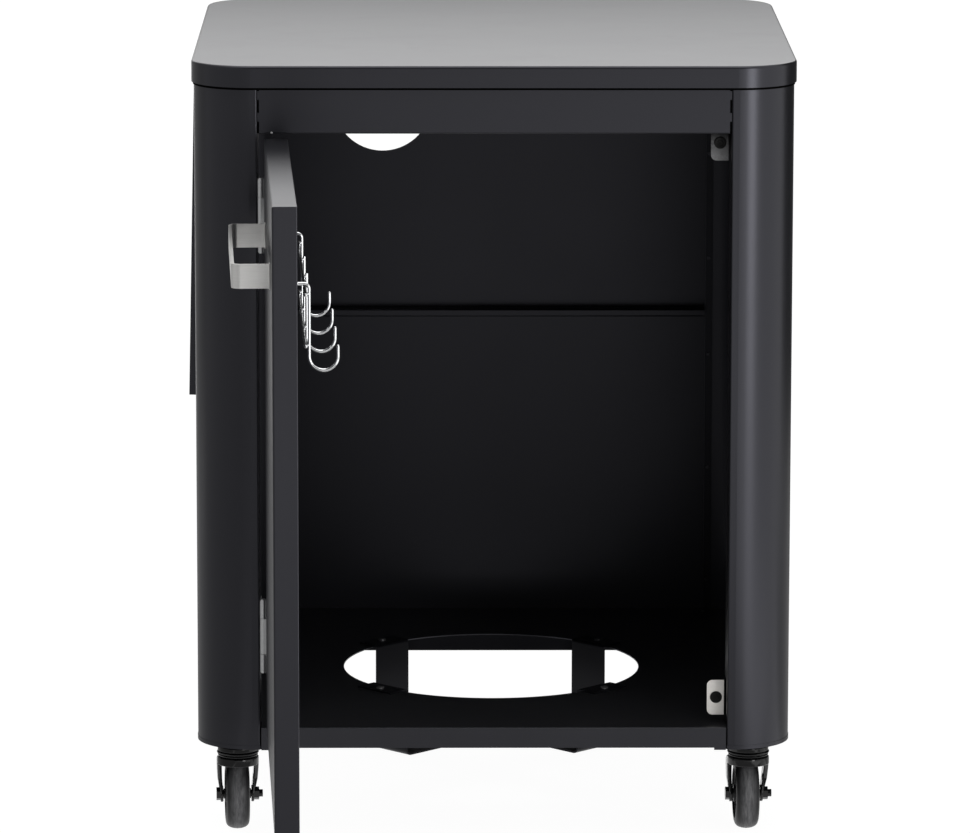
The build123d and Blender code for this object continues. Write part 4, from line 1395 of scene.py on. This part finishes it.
@dataclass
class Casters(SubAssembly):
    """Four swivel casters with plates, pressed forks, ribbed hubs and crowned tyres."""

    spots: tuple[tuple[Corner, float, float, float], ...] = (
        (Corner.FRONT_LEFT, -275.0, -245.0, 4.0),
        (Corner.FRONT_RIGHT, 275.0, -245.0, 2.0),
        (Corner.REAR_LEFT, -275.0, 245.0, 0.0),
        (Corner.REAR_RIGHT, 275.0, 245.0, -3.0),
    )
    trail: float = 26.0
    wheel: float = 38.0
    seal_steps: int = 56
    seal: Profile = (
        (5.2, 87.6), (20.6, 87.6), (21.4, 87.9), (21.6, 88.5), (21.2, 89.1), (20.4, 89.4), (20.4, 89.8),
        (21.7, 90.1), (22.5, 90.6), (22.7, 91.4), (22.4, 92.1), (21.6, 92.5), (5.2, 92.5),
    )
    crown_steps: int = 56
    crown: Profile = (
        (5.1, 87.1), (19.8, 87.1), (21.4, 86.7), (22.3, 85.8), (22.55, 84.3), (22.55, 78.5),
        (22.2, 78.1), (19.9, 78.1), (19.6, 78.5), (19.6, 84.1), (5.1, 84.1),
    )
    leg_edge: float = 1.1
    leg: tuple[tuple[float, float, float, float, float], ...] = (
        (18.8, 1.5, 84.9, 4.4, 8.0),
        (19.7, 6.0, 83.5, 5.0, 16.0),
        (19.9, 10.6, 80.1, 5.2, 21.6),
        (19.8, 14.5, 71.0, 5.1, 21.4),
        (19.2, 19.5, 58.0, 4.8, 19.8),
        (17.9, 24.2, 48.0, 4.0, 18.4),
        (16.65, 26.0, 38.0, 2.9, 17.0),
    )
    foot_steps: int = 32
    foot: Profile = ((4.2, 15.2), (8.5, 15.2), (9.0, 15.7), (9.0, 17.6), (8.5, 18.1), (4.2, 18.1))
    rib_count: int = 8
    rib: Point = (14.4, 1.8, 3.2)
    rib_edge: float = 0.4
    rib_reach: float = 16.0
    rib_out: float = 8.0
    tyre_steps: int = 72
    tyre_half_width: float = 12.7
    tyre_half: Profile = (
        (38.0, 0.0), (38.0, 0.35), (37.85, 0.5), (37.7, 3.0), (37.2, 5.6), (36.3, 8.2), (35.0, 10.2),
        (33.2, 11.7), (31.2, 12.5), (29.6, 12.7), (29.2, 12.3), (28.6, 12.3), (28.2, 12.7),
        (27.05, 12.7), (27.05, 10.6),
    )

    def build(self) -> None:
        """Dresses the casters and makes their seals, forks, ribs and tyres."""
        self.dress(Slot.BLACK_PLATE, ["caster_plates", "caster_bolts"])
        rings = Shaper.gather(
            (Shaper.lathe(self.seal, self.seal_steps, closed=True), Shaper.shift((across, along, 0.0)))
            for _, across, along, _ in self.spots
        )
        gloss = self.finishes.of(Slot.BLACK_PLATE)
        self.piece(rings, "caster_seal_rings", "cabinet", Slot.BLACK_RUBBER, ["caster_seals"], gloss)
        for corner, across, along, turn in self.spots:
            name = corner.value
            self.dress(Slot.BLACK_PLATE, [f"{name}_axle"])
            self.dress(Slot.GREY_HUB, [f"{name}_hub"])
            swivel = Shaper.shift((across, along, 0.0)) @ Matrix.Rotation(math.radians(turn), 4, "Z")
            axle = swivel @ Shaper.stand((0.0, self.trail, self.wheel), RIGHT)
            fork = self.fork(swivel, axle)
            self.piece(fork, f"{name}_fork_shell", f"{name}_swivel", Slot.BLACK_PLATE, [f"{name}_fork"])
            self.piece(self.ribs(axle), f"{name}_hub_ribs", f"{name}_wheel", Slot.GREY_HUB)
            tyre = self.tyre(axle)
            self.piece(tyre, f"{name}_tyre_tread", f"{name}_wheel", Slot.GREY_TYRE, [f"{name}_tyre"])

    def fork(self, swivel: Matrix, axle: Matrix) -> Form:
        """Makes a pressed fork: a crown cap, two bowed legs and two round feet.

        Args:
            swivel: Frame of the caster on the ground under its kingpin.
            axle: Frame of the wheel, with +Z along the axle.

        Returns:
            The form.
        """
        parts = [(Shaper.lathe(self.crown, self.crown_steps, closed=True), swivel)]
        for side in (-1.0, 1.0):
            leg = [((side * out, back, level), width, depth) for out, back, level, width, depth in self.leg]
            parts.append((Shaper.loft(leg, self.leg_edge), swivel))
            flip = Matrix.Scale(side, 4, UP)
            parts.append((Shaper.lathe(self.foot, self.foot_steps, closed=True), axle @ flip))
        return Shaper.gather(parts)

    def ribs(self, axle: Matrix) -> Form:
        """Makes the stiffening ribs in both dishes of a hub.

        Args:
            axle: Frame of the wheel, with +Z along the axle.

        Returns:
            The form.
        """
        parts = []
        for side in (-1.0, 1.0):
            for number in range(self.rib_count):
                turn = Matrix.Rotation(math.tau * number / self.rib_count, 4, "Z")
                out = Shaper.shift((self.rib_reach, 0.0, side * self.rib_out))
                parts.append((Shaper.block(self.rib, self.rib_edge, segments=2), axle @ turn @ out))
        return Shaper.gather(parts)

    def tyre(self, axle: Matrix) -> Form:
        """Makes a tyre with a crowned tread and a fine parting rib.

        Args:
            axle: Frame of the wheel, with +Z along the axle.

        Returns:
            The form, with an attribute that is 0 at its middle and 1 at its sides.
        """
        other = tuple((radius, -width) for radius, width in reversed(self.tyre_half[1:]))
        form = Shaper.lathe((*self.tyre_half, *other), self.tyre_steps, closed=True)
        # The across attribute places the painted shade on the tyre's sides.
        across = form.verts.layers.float.new(ACROSS)
        for vert in form.verts:
            vert[across] = abs(vert.co.z) / (self.tyre_half_width * MM)
        bmesh.ops.transform(form, matrix=axle, verts=form.verts)
        return form


@dataclass
class SideShelf(SubAssembly):
    """The drop-leaf shelf on its two hinges."""

    def build(self) -> None:
        """Dresses the shelf and its hinges."""
        self.dress(Slot.POWDER_COAT, ["side_shelf"])
        self.dress(Slot.BLACK_PLATE, ["shelf_hinge_plates", "shelf_pins"])
        self.dress(Slot.BLACK_RUBBER, ["shelf_buffers"])


@dataclass(frozen=True)
class Aimed:
    """A rectangle of the studio that faces a point; its lengths are in metres."""

    name: str
    place: Point
    aim: Point
    width: float
    height: float

    def turn(self, front: str) -> Quaternion:
        """Gives the turn that points one of the rectangle's axes at its aim."""
        return (Vector(self.aim) - Vector(self.place)).to_track_quat(front, "Y")


@dataclass(frozen=True)
class SoftBox(Aimed):
    """An area lamp aimed at a point of the cart."""

    radiance: float

    def build(self) -> None:
        """Adds the lamp."""
        data = bpy.data.lights.new(self.name, "AREA")
        data.shape = "RECTANGLE"
        data.size = self.width
        data.size_y = self.height
        data.energy = self.radiance * math.pi * self.width * self.height
        lamp = bpy.data.objects.new(self.name, data)
        lamp.location = self.place
        lamp.rotation_euler = self.turn("-Z").to_euler()
        lamp.visible_camera = False
        bpy.context.scene.collection.objects.link(lamp)
        LOG.info("lit %s", self.name)


@dataclass(frozen=True)
class Card(Aimed):
    """A flat card that glows evenly at its tone in the surround, out of the camera's sight."""

    tone: float

    def build(self) -> None:
        """Stands the card up."""
        form = bmesh.new()
        bmesh.ops.create_grid(form, x_segments=1, y_segments=1, size=0.5)
        bmesh.ops.scale(form, vec=(self.width, self.height, 1.0), verts=form.verts)
        turn = self.turn("Z").to_matrix().to_4x4()
        bmesh.ops.transform(form, matrix=Matrix.Translation(self.place) @ turn, verts=form.verts)
        material, bench = fresh_material(self.name)
        glow = bench.add("ShaderNodeEmission")
        bench.feed((1.0, 1.0, 1.0, 1.0), glow.inputs["Color"])
        bench.feed(self.tone, glow.inputs["Strength"])
        output = bench.add("ShaderNodeOutputMaterial")
        bench.feed(glow.outputs["Emission"], output.inputs["Surface"])
        made = set_down(form, self.name, material)
        made.visible_camera = False
        made.visible_shadow = False
        LOG.info("stood %s", self.name)


@dataclass
class Studio:
    """Camera, lamps, pale floor and white surround."""

    image_width: int = 970
    sensor: float = 36.0
    focal_pixels: float = 6329.55
    clip_end: float = 200.0
    pitch: float = math.radians(10.332)
    yaw: float = math.radians(0.475)
    roll: float = math.radians(-0.07)
    place: Point = (-0.0643, -6.8919, 1.6693)
    floor_half: float = 40.0
    floor_tone: float = 0.9
    surround: float = 0.62
    shadow_share: float = 0.12
    floor_white: float = 1.1
    boxes: tuple[SoftBox, ...] = (
        SoftBox("right_strip", (1.67, -2.95, 0.7), (0.28, -0.3, 0.7), 0.8, 1.4, 5.4),
        SoftBox("overhead", (0.0, -0.4, 3.4), (0.0, 0.0, 0.4), 2.6, 2.6, 1.2),
        SoftBox("rear_wall", (-0.45, 1.9, 1.8), (-0.45, 0.0, 0.8), 3.0, 1.1, 1.05),
    )
    cards: tuple[Card, ...] = (
        Card("front_wall", (0.0, -8.8, 4.6), (0.0, 0.0, 4.6), 16.0, 8.4, 0.1),
        Card("left_wall", (-3.0, -3.6, 2.0), (0.0, -3.6, 2.0), 9.5, 4.0, 0.45),
        # The ground cards paint light and shade on the floor as reflections see it: left_ground and
        # front_ground are painted shade, darker patches near the cart; right_pool is a painted pool of light
        # from the right strip.
        Card("left_ground", (-1.75, -3.9, 0.001), (-1.75, -3.9, 1.0), 2.6, 8.8, 0.38),
        Card("front_ground", (0.15, -1.3, 0.001), (0.15, -1.3, 1.0), 1.1, 1.8, 0.46),
        Card("right_pool", (0.86, -1.5, 0.002), (0.86, -1.5, 1.0), 0.7, 2.0, 1.7),
        Card("right_flag", (1.81, 1.38, 1.4), (0.0, 0.0, 1.4), 2.5, 2.8, 0.04),
        Card("left_flag", (-1.9, 1.3, 1.4), (0.0, 0.0, 1.4), 2.5, 2.8, 0.28),
        Card("back_flag", (0.2, 0.95, 0.48), (0.2, 0.0, 0.48), 1.3, 0.96, 0.18),
        Card("right_back_ground", (1.15, 1.0, 0.001), (1.15, 1.0, 1.0), 1.5, 2.2, 0.4),
        Card("left_back_ground", (-1.15, 1.0, 0.001), (-1.15, 1.0, 1.0), 1.5, 2.2, 0.4),
    )

    def build(self) -> None:
        """Sets up the whole studio."""
        self.camera()
        self.floor()
        self.world()
        for item in (*self.boxes, *self.cards):
            item.build()
        bpy.context.scene.view_settings.view_transform = "Standard"

    def camera(self) -> None:
        """Places the camera at the viewing angle of the picture."""
        flat = math.cos(self.pitch)
        ahead = Vector((math.sin(self.yaw) * flat, math.cos(self.yaw) * flat, -math.sin(self.pitch)))
        level = Vector((math.cos(self.yaw), -math.sin(self.yaw), 0.0))
        below = ahead.cross(level)
        across = math.cos(self.roll) * level + math.sin(self.roll) * below
        down = math.cos(self.roll) * below - math.sin(self.roll) * level
        turn = Matrix((across, -down, -ahead)).transposed()
        data = bpy.data.cameras.new("picture_camera")
        data.sensor_width = self.sensor
        data.lens = self.focal_pixels * self.sensor / self.image_width
        data.clip_end = self.clip_end
        camera = bpy.data.objects.new("picture_camera", data)
        camera.matrix_world = Matrix.Translation(self.place) @ turn.to_4x4()
        bpy.context.scene.collection.objects.link(camera)
        bpy.context.scene.camera = camera
        LOG.info("placed the camera")

    @staticmethod
    def seen_directly(bench: NodeBench) -> Wire:
        """Gives 1 for rays that show the surround itself.

        Args:
            bench: Bench of a material or a world.

        Returns:
            Socket that is 1 for camera, glossy and transmission rays.
        """
        path = bench.add("ShaderNodeLightPath")
        shown = bench.math("MAXIMUM", path.outputs["Is Camera Ray"], path.outputs["Is Glossy Ray"])
        return bench.math("MAXIMUM", shown, path.outputs["Is Transmission Ray"])

    def floor(self) -> None:
        """Lays the pale floor that keeps the cart's shadow."""
        material, bench = fresh_material("pale_floor")
        plain = bench.add("ShaderNodeBsdfDiffuse")
        bench.feed((self.floor_tone, self.floor_tone, self.floor_tone, 1.0), plain.inputs["Color"])
        white = bench.add("ShaderNodeEmission")
        bench.feed((1.0, 1.0, 1.0, 1.0), white.inputs["Color"])
        bench.feed(self.floor_white, white.inputs["Strength"])
        share = bench.math("MULTIPLY", self.seen_directly(bench), 1.0 - self.shadow_share)
        mix = bench.add("ShaderNodeMixShader")
        for number, source in enumerate((share, plain.outputs["BSDF"], white.outputs["Emission"])):
            bench.feed(source, mix.inputs[number])
        output = bench.add("ShaderNodeOutputMaterial")
        bench.feed(mix.outputs["Shader"], output.inputs["Surface"])
        form = bmesh.new()
        bmesh.ops.create_grid(form, x_segments=1, y_segments=1, size=self.floor_half)
        ground = set_down(form, "pale_floor", material)
        LOG.info("laid the floor")

    def world(self) -> None:
        """Makes the surround: white where it is seen, softer where it lights."""
        world = bpy.data.worlds.new("white_surround")
        bpy.context.scene.world = world
        world.use_nodes = True
        world.node_tree.nodes.clear()
        bench = NodeBench(world.node_tree)
        background = bench.add("ShaderNodeBackground")
        bench.feed((1.0, 1.0, 1.0, 1.0), background.inputs["Color"])
        strength = bench.span(self.seen_directly(bench), self.surround, 1.0, 0.0, 1.0)
        bench.feed(strength, background.inputs["Strength"])
        output = bench.add("ShaderNodeOutputWorld")
        bench.feed(background.outputs["Background"], output.inputs["Surface"])


def main() -> None:
    """Builds every sub-assembly in order and sets up the studio."""
    logging.basicConfig(level=logging.INFO, format="%(name)s: %(message)s")
    finishes = Finishes()
    fixed = (Worktop, CabinetShell, BottleCradle, DoorStops)
    moving = (Door, DoorHinges, HookRack, Casters, SideShelf)
    for assembly in (*fixed, *moving):
        assembly(finishes).build()
    Studio().build()


if __name__ == "__main__":
    main()
